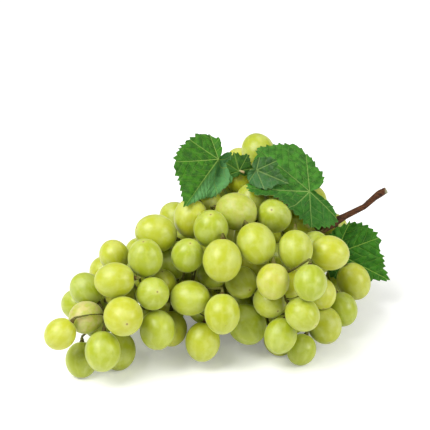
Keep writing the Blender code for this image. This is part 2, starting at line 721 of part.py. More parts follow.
def make_leaf(name, leaf, centre, grid, petiole, green):
    """The blade, given its thickness, joined to its stem."""
    rings, rays = grid.shape[:2]
    bm = bmesh.new()
    middle = bm.verts.new(Vector(centre * MM))
    verts = [[bm.verts.new(Vector(point * MM)) for point in ring] for ring in grid]
    for k in range(rays):
        bm.faces.new((middle, verts[0][k - 1], verts[0][k]))
        for inner, outer in zip(verts[:-1], verts[1:]):
            bm.faces.new((inner[k - 1], outer[k - 1], outer[k], inner[k]))
    mesh = bpy.data.meshes.new(name)
    bm.to_mesh(mesh)
    bm.free()
    mesh.shade_smooth()
    blade = placed(name, mesh, green)
    thick = blade.modifiers.new("thickness", "SOLIDIFY")
    thick.thickness = LEAF_THICK * MM
    thick.offset = 0
    stem = placed(name + "_stem", tube_mesh(name + "_stem", *petiole, PETIOLE_SIDES), green, helper=True)
    join(blade, stem, solver="MANIFOLD")  # EXACT loses a blade that is this thin
    return blade


def centre_on_origin(pieces):
    """Moves the whole bunch so that the origin is under the middle of its box."""
    bpy.context.view_layer.update()
    graph = bpy.context.evaluated_depsgraph_get()
    corners = []
    for obj in pieces:
        shape = obj.evaluated_get(graph)
        mesh = shape.to_mesh()
        flat = np.empty(len(mesh.vertices) * 3, np.float32)
        mesh.vertices.foreach_get("co", flat)
        corners.append(flat.reshape(-1, 3) + np.array(obj.location))
        shape.to_mesh_clear()
    corners = np.concatenate(corners)
    middle = (corners.min(axis=0) + corners.max(axis=0)) / 2
    for obj in bpy.data.objects:
        obj.location -= Vector((middle[0], middle[1], 0))


def clear_scene():
    for obj in list(bpy.data.objects):
        bpy.data.objects.remove(obj, do_unlink=True)


def main():
    clear_scene()
    skin = material("grape skin", (0.55, 0.62, 0.16), 0.32)
    bark = material("bark", (0.20, 0.15, 0.06), 0.7)
    green = material("leaf green", (0.05, 0.20, 0.03), 0.5)
    berries = settle(Berries())
    make_berries(berries, skin)

    leaves = {name: Leaf(plan) for name, plan in LEAVES.items()}
    routed = [name for name, leaf in leaves.items() if not leaf.stated_stem]
    bases = [leaves[name].base - leaves[name].normal * 5 for name in routed]
    ends = np.concatenate([berries.stem_end(STUB), np.array(bases)])
    points, parent, load, fixed, tips = grow_stalk(berries, ends)
    ways = lone_ways(parent, load, fixed, tips[len(berries.centre):])
    found = {name: [points[k].copy() for k in way] for name, way in zip(routed, ways)}
    points, parent, load = without(points, parent, load, [k for way in ways for k in way])

    radius = smooth_stems(berries, points, parent, load, fixed)
    stems = stems_of(berries, points, parent, load, fixed, radius)
    make_stalk(berries, stems, bark)

    others = [(points, radius.max())]
    for name, leaf in leaves.items():
        centre, grid = drape(leaf, berries, others)
        petiole = petiole_way(leaf, centre, found.get(name, []), berries, others)
        make_leaf(name, leaf, centre, grid, petiole, green)
        others.append((np.concatenate([blade_points(centre, grid), petiole[0][1:]]), LEAF_THICK / 2))
    centre_on_origin([obj for obj in bpy.context.scene.collection.objects if not obj.hide_render])


main()
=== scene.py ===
"""The looks of a bunch of white table grapes that lies on its side with its stalk and five leaves.

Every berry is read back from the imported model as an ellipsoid, grown finely by one Geometry Nodes tree and
pressed flat where it meets its neighbours and the table. The leaves are drawn finely from the same plans as
the model's and laid at the model's height. The stalk is the model's, rounded, with bark and warts.
"""

import math

import bmesh
import bpy
import numpy as np
from mathutils import Matrix, Vector
from mathutils.bvhtree import BVHTree


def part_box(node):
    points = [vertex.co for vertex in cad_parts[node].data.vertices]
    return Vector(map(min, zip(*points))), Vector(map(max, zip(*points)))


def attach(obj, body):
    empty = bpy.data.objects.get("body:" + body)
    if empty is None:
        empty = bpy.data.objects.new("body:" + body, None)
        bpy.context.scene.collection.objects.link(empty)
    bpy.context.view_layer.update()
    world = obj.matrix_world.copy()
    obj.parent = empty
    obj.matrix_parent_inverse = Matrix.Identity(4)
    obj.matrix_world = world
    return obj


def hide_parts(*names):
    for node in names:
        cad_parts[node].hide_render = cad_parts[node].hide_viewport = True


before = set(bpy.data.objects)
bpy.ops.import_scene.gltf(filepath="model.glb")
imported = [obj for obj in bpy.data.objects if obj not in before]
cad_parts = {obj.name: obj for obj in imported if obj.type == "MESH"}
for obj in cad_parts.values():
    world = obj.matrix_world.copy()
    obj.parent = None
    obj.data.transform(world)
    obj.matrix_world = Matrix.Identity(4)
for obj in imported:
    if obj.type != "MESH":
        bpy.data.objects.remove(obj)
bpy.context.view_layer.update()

MM = 0.001  # metres
SEED = 11

# The leaves' plans and the camera's aim are given in the design's own millimetres, which differ from the
# frame's by this shift.
DESIGN_SHIFT = np.array((-5.768, 1.623, 0.0))

# Berries
ACROSS, ALONG = 60, 40  # faces round a berry and from end to end
SKIN_GAP = 0.04  # left between two berries that press each other, in millimetres
SOFT_PRESS = 0.14  # how softly a pressed spot rounds off
STEM_DIMPLE, FAR_DIMPLE = 0.05, 0.012  # depths at a berry's two ends, as shares of its half length
LONGEST_SHAPE = 1.45  # a berry's half length is less than this many half widths
TAPER = 0.025  # how much narrower a berry is towards its far end
LUMP, LUMP_SCALE = 0.35, 60.0  # the height of a berry's gentle unevenness, and its scale per metre
RUSSET_BERRIES = {"berries_tip_6": 0.7, "berry_top_4": 0.3, "berry_right_3": 0.25}  # each node's lowest

COLLAR = {"Wide end": 1.55, "Narrow end": 0.8, "Height": 1.5, "Unevenness": 0.35}  # where a stem holds it
COLLAR_SEAT = 0.25  # from the dimple to the collar's lower end

# Leaves: where the stem joins, the tip, a point on the half that faces up, the outline as (angle from the
# midrib in degrees, length) round the two halves, how far each half folds down, the cupping, and the
# angles of the main veins in each half.
LEAVES = {
    "leaf_left": dict(
        base=(2, 24, 94), tip=(-19, -15, 81), side=(-21, 8, 97),
        up=((0, 46), (11, 36), (23, 31), (36, 30), (52, 27), (71, 23), (93, 20), (123, 18), (150, 13),
            (172, 3)),
        down=((12, 36), (26, 30), (40, 29), (58, 26), (78, 24), (100, 21), (125, 18), (150, 12), (172, 3)),
        folds=(6, 55), cup=3, veins=(0, 43, 88, 133, -46, -92, -138)),
    "leaf_right": dict(
        base=(55, 12, 79), tip=(18, 2, 86), side=(27, 32, 100),
        up=((0, 39), (9, 36), (26, 35), (42, 38), (52, 41), (60, 38), (72, 37), (90, 32), (101, 26),
            (115, 20), (139, 13), (155, 8), (166, 3), (174, 1.5)),
        down=((10, 36), (22, 30), (34, 26), (50, 25), (70, 22), (92, 21), (118, 24), (138, 24), (148, 17),
              (158, 6), (170, 1.5)),
        folds=(4, 22), cup=3, veins=(0, 50, 97, -44, -92, -140)),
    "leaf_low": dict(
        base=(73, 17, 35), tip=(103, 15, 19), side=(92, 23, 46),
        up=((0, 36), (9, 30), (20, 28), (33, 25), (44, 27), (58, 26), (72, 24), (88, 22), (111, 18),
            (132, 15), (170, 3)),
        down=((8, 28), (16, 25), (30, 21), (45, 18), (70, 15), (100, 11), (130, 9), (170, 3)),
        folds=(2, 6), cup=-2, veins=(0, 47, 98, -42, -95)),
    "leaf_young_dark": dict(
        base=(14, 15, 91), tip=(11, 19, 101), side=(21, 17, 96),
        up=((0, 11), (25, 9), (45, 11), (75, 8), (100, 9), (140, 5), (170, 2)),
        down=((25, 8), (45, 9), (75, 6), (100, 6), (140, 4), (170, 2)),
        folds=(15, 20), cup=1, veins=(0, 45, 95, -45, -95)),
    "leaf_young_silver": dict(
        base=(24, 12, 93), tip=(41, 8, 87), side=(32, 15, 100),
        up=((0, 20), (14, 14), (30, 12), (50, 13), (80, 9), (110, 7), (140, 5), (170, 2)),
        down=((14, 14), (30, 14), (50, 12), (80, 10), (110, 8), (140, 5), (170, 2)),
        folds=(10, 25), cup=1, veins=(0, 48, 100, -48, -100)),
}
MODEL_CELL = 7.5  # the mesh size of the model's leaves
MODEL_HALF_THICK = 0.3
WELL_ABOVE, INSIDE_RIM = 60, 0.04  # how far above a leaf its height is felt from, and how far in at its rim
BLADE_REACH = 0.9  # a vertex of the model this near to a point of its blade's middle belongs to the blade
BLADE_HALF_THICK = 0.16
RIM_STEP, RING_STEP, LEAST_STEP = 0.5, 0.75, 0.012  # of the fine blade
SMOOTH_ROUNDS = 70  # of the height that the blade takes from the model
TOOTH_ROOT = 0.8  # the share of the length where teeth begin
GROWN = 36  # the length of a grown leaf, from which a young one's relief and teeth are scaled
TOOTH_WIDTH, TOOTH_HEIGHT = 4.2, 2.3
YOUNG_TEETH = 0.72  # the height of a young leaf's teeth, as a share of a grown leaf's
MIDRIB_WIDTH, RIB_WIDTH = 0.32, 0.27
REACH_OVER = 4  # degrees that a main vein's side veins reach past the middle of the gap to the next
VEIN_SPACING, VEIN_SLOPE = 5.2, 0.85  # of the side veins along a main vein, and their lean
PLAN_SPAN = 120.0  # millimetres across the square that a leaf's UV map covers

# Stalk and stems
STEM_VOXEL, STEM_SWELL = 0.3, 0.1
VOXEL, STALK_ROUNDS, STALK_SWELL = 0.48, 4, 0.12  # its new faces, their smoothing and what that takes
WART_DENSITY, WART_SIZE = 60000.0, 0.28  # per square metre where it is woody, and a wart's radius
WOOD_START, WOOD_WHOLE = 44, 34  # from the cut end, where the bark turns woody
WOOD_HEIGHT, WOOD_RISE = 44, 6  # above the table
CUT_START, CUT_WHOLE = 2.2, 1.0  # from the cut end, where its fibres show


def unit(v):
    """The vectors scaled to length 1, along the last axis."""
    return v / np.maximum(np.linalg.norm(v, axis=-1, keepdims=True), 1e-12)


# ---------------------------------------------------------------- node trees


class Tree:
    """A node tree, with one short call to add a node, set it and join it to what feeds it."""

    def __init__(self, tree):
        self.tree = tree

    def add(self, kind, *values, **settings):
        """Adds a node. Values fill its inputs in order, or by name where given as a dict."""
        node = self.tree.nodes.new(kind)
        for key, value in settings.items():
            setattr(node, key, value)
        named = values[0] if values and isinstance(values[0], dict) else dict(enumerate(values))
        for key, value in named.items():
            self.fill(node.inputs[key], value)
        return node

    def fill(self, socket, value):
        """Joins a socket to what feeds it, or sets its value."""
        if isinstance(value, bpy.types.NodeSocket):
            self.tree.links.new(value, socket)
        else:
            socket.default_value = value

    def math(self, operation, *values):
        return self.add("ShaderNodeMath", *values, operation=operation).outputs[0]

    def plus(self, first, second):
        return self.math("ADD", first, second)

    def minus(self, first, second):
        return self.math("SUBTRACT", first, second)

    def times(self, first, second):
        return self.math("MULTIPLY", first, second)

    def vector_math(self, operation, *values):
        return self.add("ShaderNodeVectorMath", *values, operation=operation).outputs[0]

    def link(self, output, socket):
        self.tree.links.new(output, socket)

    def mix(self, amount, first, second):
        """A colour between two, each given as a socket or as red, green and blue."""
        first, second = ((*value, 1) if isinstance(value, tuple) else value for value in (first, second))
        return self.add("ShaderNodeMix", {0: amount, 6: first, 7: second}, data_type="RGBA").outputs[2]

    def span(self, value, low, high, to_low=0.0, to_high=1.0):
        """The value carried smoothly from one range to another, and held inside it."""
        values = (value, low, high, to_low, to_high)
        return self.add("ShaderNodeMapRange", *values, interpolation_type="SMOOTHSTEP").outputs[0]

    def noise(self, place, scale, detail=2.0, roughness=0.5):
        values = {"Vector": place, "Scale": scale, "Detail": detail, "Roughness": roughness}
        return self.add("ShaderNodeTexNoise", values).outputs[0]

    def attribute(self, name, out="Fac"):
        return self.add("ShaderNodeAttribute", attribute_name=name).outputs[out]

    def stored(self, name, kind):
        """A value that a Geometry Nodes tree reads from the points it is given."""
        return self.add("GeometryNodeInputNamedAttribute", {"Name": name}, data_type=kind).outputs[0]

    def pushed(self, geometry, distance):
        """The geometry with its points moved along their normals."""
        normal = self.add("GeometryNodeInputNormal").outputs[0]
        push = self.add("ShaderNodeVectorMath", {0: normal}, operation="SCALE")
        self.link(distance, push.inputs["Scale"])
        return self.add("GeometryNodeSetPosition", {"Geometry": geometry, "Offset": push.outputs[0]})

    def finish(self, geometry, finish, out):
        """Ends a Geometry Nodes tree: smooth shading, then the material."""
        smooth = self.add("GeometryNodeSetShadeSmooth", {"Geometry": geometry})
        coated = self.add("GeometryNodeSetMaterial", {"Geometry": smooth.outputs[0], "Material": finish})
        self.link(coated.outputs[0], out["Geometry"])
        return self.tree


def new_group(name, inputs, outputs):
    """A shader node group with its named sockets: the Tree, its inputs by name and its output node."""
    group = bpy.data.node_groups.new(name, "ShaderNodeTree")
    for socket, (kind, value) in inputs.items():
        made = group.interface.new_socket(name=socket, in_out="INPUT", socket_type=kind)
        if value is not None:
            made.default_value = value
    for socket, kind in outputs.items():
        group.interface.new_socket(name=socket, in_out="OUTPUT", socket_type=kind)
    tree = Tree(group)
    return tree, tree.add("NodeGroupInput").outputs, tree.add("NodeGroupOutput").inputs


FLOAT, VECTOR = "NodeSocketFloat", "NodeSocketVector"


def blotches_group():
    """Soft uneven patches: bloom on the berries, mottling on the leaves and weathering on the bark."""
    tree, given, out = new_group(
        "blotches",
        {"Place": (VECTOR, None), "Scale": (FLOAT, 100.0), "Detail": (FLOAT, 3.0),
         "From": (FLOAT, 0.4), "To": (FLOAT, 0.6)},
        {"Amount": FLOAT},
    )
    wide = tree.noise(given["Place"], given["Scale"], given["Detail"], 0.55)
    tree.link(tree.span(wide, given["From"], given["To"]), out["Amount"])
    return tree.tree


def specks_group():
    """Scattered small spots, some cells of the pattern left empty."""
    tree, given, out = new_group(
        "specks",
        {"Place": (VECTOR, None), "Scale": (FLOAT, 500.0), "Size": (FLOAT, 0.2), "Share": (FLOAT, 0.4)},
        {"Mask": FLOAT},
    )
    cells = tree.add("ShaderNodeTexVoronoi", {"Vector": given["Place"], "Scale": given["Scale"]})
    spot = tree.span(cells.outputs["Distance"], given["Size"], 0.0)
    chance = tree.add("ShaderNodeSeparateColor", cells.outputs["Color"]).outputs[0]
    kept = tree.math("LESS_THAN", chance, given["Share"])
    tree.link(tree.times(spot, kept), out["Mask"])
    return tree.tree


def vein_group():
    """One main vein of a leaf with its side veins. Place is in millimetres from the vein's start."""
    tree, given, out = new_group(
        "leaf vein",
        {"Place": (VECTOR, None), "Angle": (FLOAT, 0.0), "Reach": (FLOAT, 0.45), "Width": (FLOAT, 0.35),
         "Spacing": (FLOAT, VEIN_SPACING)},
        {"Rib": FLOAT, "Branches": FLOAT},
    )
    about = {"Vector": given["Place"], "Axis": (0, 0, -1), "Angle": given["Angle"]}
    turned = tree.add("ShaderNodeVectorRotate", about, rotation_type="AXIS_ANGLE")
    parts = tree.add("ShaderNodeSeparateXYZ", turned.outputs[0]).outputs
    ahead = tree.math("GREATER_THAN", parts["X"], -0.3)
    aside = tree.math("ABSOLUTE", parts["Y"])
    slimmer = tree.span(parts["X"], 0.0, 45.0, 1.0, 0.35)
    width = tree.times(given["Width"], slimmer)
    rib = tree.span(aside, tree.times(width, 1.8), tree.times(width, 0.5))
    tree.link(tree.times(rib, ahead), out["Rib"])
    wander = tree.times(tree.minus(tree.noise(given["Place"], 0.10, 1.0), 0.5), 4.5)
    other_half = tree.times(tree.math("GREATER_THAN", parts["Y"], 0.0), 0.5)
    lean = tree.times(aside, VEIN_SLOPE)
    count = tree.math("DIVIDE", tree.plus(tree.minus(parts["X"], lean), wander), given["Spacing"])
    count = tree.plus(count, other_half)
    off = tree.math("ABSOLUTE", tree.minus(tree.math("FRACT", count), 0.5))
    off = tree.times(off, given["Spacing"])
    line = tree.span(off, tree.times(width, 1.3), tree.times(width, 0.3))
    angle = tree.math("ABSOLUTE", tree.math("ARCTAN2", parts["Y"], parts["X"]))
    within = tree.span(angle, given["Reach"], tree.times(given["Reach"], 0.9))
    started = tree.math("GREATER_THAN", count, 0.9)
    branches = tree.times(tree.times(line, within), started)
    tree.link(branches, out["Branches"])
    return tree.tree


GROUPS = {"blotches": blotches_group(), "specks": specks_group(), "vein": vein_group()}


def blotches(tree, place, scale, detail, low, high):
    """Places the group of soft patches in a material."""
    group = tree.add("ShaderNodeGroup", node_tree=GROUPS["blotches"])
    tree.link(place, group.inputs["Place"])
    for name, value in (("Scale", scale), ("Detail", detail), ("From", low), ("To", high)):
        group.inputs[name].default_value = value
    return group.outputs[0]


def specks(tree, place, scale, size, share):
    """Places the group of scattered spots in a material."""
    group = tree.add("ShaderNodeGroup", node_tree=GROUPS["specks"])
    tree.link(place, group.inputs["Place"])
    for name, value in (("Scale", scale), ("Size", size), ("Share", share)):
        group.inputs[name].default_value = value
    return group.outputs[0]


def new_material(name):
    """A material with its tree, its Principled shader and the object coordinates."""
    material = bpy.data.materials.new(name)
    material.use_nodes = True
    tree = Tree(material.node_tree)
    shader = material.node_tree.nodes["Principled BSDF"]
    place = tree.add("ShaderNodeTexCoord").outputs["Object"]
    return material, tree, shader, place


def surface(tree, shader, colour, roughness, bump):
    """Joins what varies over a surface to its shader."""
    tree.link(colour, shader.inputs["Base Color"])
    tree.link(roughness, shader.inputs["Roughness"])
    tree.link(bump.outputs[0], shader.inputs["Normal"])


def grape_skin():
    """Thin translucent skin over juicy flesh: pale veins, pores, a waxy bloom and a scar at the far end."""
    material, tree, shader, place = new_material("grape_skin")
    skin = tree.attribute("skin", "Vector")
    tone = tree.attribute("tone")
    russet = tree.attribute("russet")
    x, y, z = tree.add("ShaderNodeSeparateXYZ", skin).outputs
    from_axis = tree.math("SQRT", tree.plus(tree.times(x, x), tree.times(y, y)))
    far_half = tree.math("GREATER_THAN", z, 0.0)
    stem_half = tree.minus(1.0, far_half)

    colour = tree.mix(tone, (0.335, 0.41, 0.009), (0.49, 0.505, 0.018))
    broad = blotches(tree, place, 70.0, 2.0, 0.3, 0.7)
    colour = tree.mix(tree.times(broad, 0.4), colour, (0.45, 0.52, 0.035))

    # Pale veins run from end to end under the skin, wandering a little.
    around = tree.math("ARCTAN2", y, x)
    wander = tree.times(tree.noise(skin, 2.2, 3.0), 5.0)
    wave = tree.math("SINE", tree.plus(tree.times(around, 9.0), wander))
    vein = tree.span(wave, 0.35, 1.0)
    fading = tree.span(from_axis, 0.15, 0.7)
    vein = tree.times(tree.times(vein, fading), 0.13)
    colour = tree.mix(vein, colour, (0.66, 0.70, 0.17))

    pores = specks(tree, place, 620.0, 0.2, 0.35)
    colour = tree.mix(tree.times(pores, 0.35), colour, (0.34, 0.33, 0.06))
    dots = specks(tree, place, 190.0, 0.11, 0.16)
    colour = tree.mix(tree.times(dots, 0.55), colour, (0.24, 0.15, 0.05))

    rough_patch = blotches(tree, place, 240.0, 5.0, 0.42, 0.62)
    russeted = tree.times(russet, tree.plus(tree.times(rough_patch, 0.7), 0.2))
    colour = tree.mix(russeted, colour, (0.62, 0.50, 0.24))

    bloom = blotches(tree, place, 150.0, 4.0, 0.40, 0.66)
    colour = tree.mix(tree.times(bloom, 0.18), colour, (0.72, 0.78, 0.42))

    # The flower's scar at the far end.
    scar = tree.times(tree.times(tree.span(from_axis, 0.085, 0.03), far_half), 0.8)
    halo = tree.times(tree.span(from_axis, 0.30, 0.08), far_half)
    colour = tree.mix(tree.times(halo, 0.35), colour, (0.62, 0.60, 0.20))
    colour = tree.mix(scar, colour, (0.22, 0.12, 0.04))
    # Painted shade: a darker ring round the stem end, where the stem sits in its dimple.
    stem_end_shade = tree.times(tree.span(from_axis, 0.34, 0.18), stem_half)
    colour = tree.mix(tree.times(stem_end_shade, 0.55), colour, (0.33, 0.36, 0.06))

    roughness = tree.plus(tree.times(bloom, 0.16), 0.34)
    roughness = tree.plus(roughness, tree.times(russeted, 0.2))
    peel = tree.plus(tree.noise(place, 900.0, 2.0), tree.times(dots, 0.8))
    bump = tree.add("ShaderNodeBump", {"Strength": 0.12, "Distance": 0.0001, "Height": peel})
    surface(tree, shader, colour, roughness, bump)
    shader.inputs["Subsurface Weight"].default_value = 0.5
    shader.inputs["Subsurface Radius"].default_value = (1.0, 0.8, 0.12)
    shader.inputs["Subsurface Scale"].default_value = 6.0 * MM
    shader.inputs["Specular IOR Level"].default_value = 0.5
    shader.inputs["Sheen Weight"].default_value = 0.22
    shader.inputs["Sheen Roughness"].default_value = 0.35
    shader.inputs["Sheen Tint"].default_value = (0.95, 1.0, 0.75, 1)
    shader.inputs["Coat Weight"].default_value = 0.1
    shader.inputs["Coat Roughness"].default_value = 0.3
    return material


def cell_edges(tree, place, scale, width):
    """The net of thin lines between the cells of a pattern."""
    cells = tree.add("ShaderNodeTexVoronoi", {"Vector": place, "Scale": scale}, feature="DISTANCE_TO_EDGE")
    return tree.span(cells.outputs["Distance"], width, 0.0)


def leaf_veins(tree, plan, plan_place):
    """Masks of a leaf's main veins and of their side veins."""
    angles = sorted(plan["veins"])
    gaps = [b - a for a, b in zip(angles[:-1], angles[1:])]
    ribs, branches = None, None
    for k, angle in enumerate(angles):
        reach = max(gaps[max(k - 1, 0)], gaps[min(k, len(gaps) - 1)]) / 2 + REACH_OVER
        width = MIDRIB_WIDTH if angle == 0 else RIB_WIDTH
        node = tree.add("ShaderNodeGroup", node_tree=GROUPS["vein"])
        turn, reach = math.radians(angle), math.radians(reach)
        for name, value in (("Place", plan_place), ("Angle", turn), ("Reach", reach), ("Width", width)):
            tree.fill(node.inputs[name], value)
        ribs = node.outputs[0] if ribs is None else tree.math("MAXIMUM", ribs, node.outputs[0])
        branches = node.outputs[1] if branches is None else tree.math("MAXIMUM", branches, node.outputs[1])
    return ribs, branches


def leaf_material(name, plan, deep, light, painted_sheen_half, vein_colour, down=0.0):
    """A leaf's blade: deep green with paler veins, a lighter underside, and a painted satin sheen that makes
    the half folding down lighter.
    """
    material, tree, shader, _ = new_material(name)
    uv = tree.add("ShaderNodeUVMap", uv_map="plan").outputs[0]
    centred = tree.vector_math("SUBTRACT", uv, (0.5, 0.5, 0.0))
    plan_place = tree.vector_math("MULTIPLY", centred, (PLAN_SPAN, PLAN_SPAN, 0.0))
    ribs, branches = leaf_veins(tree, plan, plan_place)
    net, fine_net = cell_edges(tree, plan_place, 0.75, 0.09), cell_edges(tree, plan_place, 2.1, 0.10)

    under = tree.attribute("under")
    across = tree.attribute("across")
    outward = tree.attribute("outward")
    patches = blotches(tree, plan_place, 0.22, 5.0, 0.38, 0.62)
    top = tree.mix(patches, deep, light)
    grain = blotches(tree, plan_place, 2.4, 2.0, 0.3, 0.7)
    top = tree.mix(tree.times(grain, 0.3), top, light)
    # Painted sheen: the half that folds down is made paler and bluer, standing in for light that grazes it.
    folded = tree.span(across, 0.5, -4.0)
    top = tree.mix(tree.times(folded, 0.55), top, painted_sheen_half)
    margin = tree.span(outward, 0.86, 1.03)
    top = tree.mix(tree.times(margin, 0.35), top, light)
    top = tree.mix(tree.times(fine_net, 0.07), top, vein_colour)
    top = tree.mix(tree.times(net, 0.12), top, vein_colour)
    top = tree.mix(tree.times(branches, 0.32), top, vein_colour)
    top = tree.mix(tree.times(ribs, 0.8), top, vein_colour)
    pale = tree.mix(patches, (0.28, 0.40, 0.16), (0.36, 0.48, 0.22))
    veined = tree.math("MAXIMUM", ribs, tree.times(branches, 0.8))
    pale = tree.mix(tree.times(veined, 0.7), pale, (0.52, 0.60, 0.30))
    colour = tree.mix(under, top, pale)
    silver = blotches(tree, plan_place, 0.3, 5.0, 0.35, 0.75)
    colour = tree.mix(tree.times(silver, down), colour, (0.55, 0.64, 0.50))
    tip_dry = blotches(tree, plan_place, 0.5, 3.0, 0.56, 0.7)
    dry = tree.times(tree.span(outward, 0.95, 1.08), tip_dry)
    colour = tree.mix(tree.times(dry, 0.6), colour, (0.35, 0.26, 0.08))

    height = tree.minus(1.0, tree.times(ribs, 0.9))
    height = tree.minus(height, tree.times(branches, 0.55))
    height = tree.minus(height, tree.times(net, 0.3))
    height = tree.minus(height, tree.times(fine_net, 0.12))
    height = tree.plus(height, tree.times(grain, 0.15))
    bump = tree.add("ShaderNodeBump", {"Strength": 0.8, "Distance": 0.0003, "Height": height})
    roughness = tree.plus(tree.times(grain, 0.14), 0.40)
    roughness = tree.plus(roughness, tree.times(under, 0.2))
    surface(tree, shader, colour, roughness, bump)
    shader.inputs["Specular IOR Level"].default_value = 0.14
    return material


def leaf_stem_material():
    """The leaves' own stems: fresh green, with reddish streaks."""
    material, tree, shader, place = new_material("leaf_stem")
    streak = blotches(tree, place, 260.0, 3.0, 0.4, 0.7)
    colour = tree.mix(streak, (0.24, 0.34, 0.09), (0.36, 0.24, 0.10))
    tree.link(colour, shader.inputs["Base Color"])
    shader.inputs["Roughness"].default_value = 0.5
    return material


def bark():
    """Brown ridged bark on the stalk, green on the thin stems, grey-green and fibrous at the cut."""
    material, tree, shader, place = new_material("stalk_bark")
    wood = tree.attribute("wood")
    cut = tree.attribute("cut")
    along = tree.add("ShaderNodeMapping", {
        "Vector": place, "Rotation": (0.0, math.radians(27), math.radians(-18)), "Scale": (0.22, 1.0, 1.0),
    }).outputs[0]
    streaks = blotches(tree, along, 1500.0, 4.0, 0.35, 0.66)
    weather = blotches(tree, place, 230.0, 4.0, 0.38, 0.66)
    warts = specks(tree, along, 900.0, 0.3, 0.3)
    brown = tree.mix(streaks, (0.020, 0.006, 0.002), (0.11, 0.035, 0.010))
    brown = tree.mix(tree.times(weather, 0.2), brown, (0.17, 0.085, 0.03))
    green = tree.mix(streaks, (0.11, 0.13, 0.018), (0.22, 0.25, 0.05))
    green = tree.mix(tree.times(weather, 0.55), green, (0.085, 0.045, 0.014))
    colour = tree.mix(wood, green, brown)
    colour = tree.mix(tree.times(warts, 0.5), colour, (0.04, 0.018, 0.008))
    fibres = tree.mix(streaks, (0.24, 0.25, 0.16), (0.42, 0.42, 0.28))
    colour = tree.mix(cut, colour, fibres)
    height = tree.plus(streaks, tree.times(warts, 0.8))
    bump = tree.add("ShaderNodeBump", {"Strength": 0.6, "Distance": 0.0003, "Height": height})
    roughness = tree.plus(tree.times(weather, 0.2), 0.55)
    surface(tree, shader, colour, roughness, bump)
    shader.inputs["Specular IOR Level"].default_value = 0.2
    return material


# ---------------------------------------------------------------- meshes


def new_piece(name, mesh, *materials):
    """An object at the origin that holds the mesh."""
    piece = bpy.data.objects.new(name, mesh)
    bpy.context.scene.collection.objects.link(piece)
    for material in materials:
        mesh.materials.append(material)
    return piece


def corners(mesh):
    """A mesh's vertices as an array, in metres."""
    co = np.empty(len(mesh.vertices) * 3, np.float32)
    mesh.vertices.foreach_get("co", co)
    return co.reshape(-1, 3).astype(float)


def set_corners(mesh, places):
    mesh.vertices.foreach_set("co", np.ascontiguousarray(places, np.float32).ravel())
    mesh.update()


def give(mesh, name, values, kind="FLOAT"):
    """Stores a value for each vertex."""
    field = "vector" if kind == "FLOAT_VECTOR" else "value"
    made = mesh.attributes.new(name, kind, "POINT")
    made.data.foreach_set(field, np.ascontiguousarray(values, np.float32).ravel())


def merged_copy(node):
    """A CAD node's loose triangles joined into one closed mesh."""
    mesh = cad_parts[node].data.copy()
    mesh.materials.clear()
    bm = bmesh.new()
    bm.from_mesh(mesh)
    bmesh.ops.remove_doubles(bm, verts=bm.verts, dist=0.002 * MM)
    bm.to_mesh(mesh)
    bm.free()
    return mesh


def run_tree(piece, tree, values):
    """Runs a Geometry Nodes tree on the piece and keeps the result as the piece's own plain mesh."""
    run = piece.modifiers.new(tree.name, "NODES")
    run.node_group = tree
    for item in tree.interface.items_tree:
        if item.in_out == "INPUT" and item.name in values:
            run[item.identifier] = values[item.name]
    bpy.context.view_layer.update()
    result = piece.evaluated_get(bpy.context.evaluated_depsgraph_get())
    mesh = bpy.data.meshes.new_from_object(result)
    start = piece.data
    piece.modifiers.remove(run)
    piece.data = mesh
    bpy.data.meshes.remove(start)
    return mesh


def new_nodes_tree(name, inputs):
    """A Geometry Nodes tree that takes and gives geometry, with its named inputs."""
    group = bpy.data.node_groups.new(name, "GeometryNodeTree")
    group.interface.new_socket(name="Geometry", in_out="INPUT", socket_type="NodeSocketGeometry")
    group.interface.new_socket(name="Geometry", in_out="OUTPUT", socket_type="NodeSocketGeometry")
    for socket, (kind, value) in inputs.items():
        made = group.interface.new_socket(name=socket, in_out="INPUT", socket_type=kind)
        if value is not None:
            made.default_value = value
    tree = Tree(group)
    return tree, tree.add("NodeGroupInput").outputs, tree.add("NodeGroupOutput").inputs


# ---------------------------------------------------------------- berries


def berry_clusters(mesh):
    """The vertices of each berry of a model node, told apart by the creases between them."""
    bm = bmesh.new()
    bm.from_mesh(mesh)
    bm.faces.ensure_lookup_table()
    seen, found = set(), []
    for first in bm.faces:
        if first.index in seen:
            continue
        seen.add(first.index)
        todo, corner_set = [first], set()
        while todo:
            face = todo.pop()
            corner_set.update(tuple(v.co) for v in face.verts)
            for edge in face.edges:
                for other in edge.link_faces:
                    if other.index in seen:
                        continue
                    third = next(v for v in other.verts if v not in edge.verts)
                    if (third.co - edge.verts[0].co).dot(face.normal) > 0.02 * MM:
                        continue
                    seen.add(other.index)
                    todo.append(other)
        if len(corner_set) > 12:
            found.append(np.array(sorted(corner_set)))
    bm.free()
    return found


def fitted_berry(points):
    """The ellipsoid of revolution through most of the points: centre, axis, half width and half length."""
    middle, scale = points.mean(axis=0), 10 * MM
    x, y, z = ((points - middle) / scale).T
    rows = np.stack([x * x, y * y, z * z, 2 * x * y, 2 * x * z, 2 * y * z, 2 * x, 2 * y, 2 * z], axis=1)
    weight = np.ones(len(rows))
    for _ in range(60):
        s = np.linalg.lstsq(rows * weight[:, None], weight, rcond=None)[0]
        weight = 1 / np.sqrt(np.abs(rows @ s - 1) + 1e-5)
    form = np.array([[s[0], s[3], s[4]], [s[3], s[1], s[5]], [s[4], s[5], s[2]]])
    centre = -np.linalg.solve(form, s[6:])
    size = 1 - s[6:] @ centre
    values, ways = np.linalg.eigh(form / size)
    half = scale / np.sqrt(np.maximum(values, 1e-6))  # the longest first
    return middle + centre * scale, ways[:, 0], (half[1] + half[2]) / 2, half[0]


def told_apart(points):
    """The points of one berry, or of each of two berries that no crease parted, seen from their length."""
    _, way, across, along = fitted_berry(points)
    if along < LONGEST_SHAPE * across:
        return [points]
    side = (points - points.mean(axis=0)) @ way > 0
    return [points[side], points[~side]]


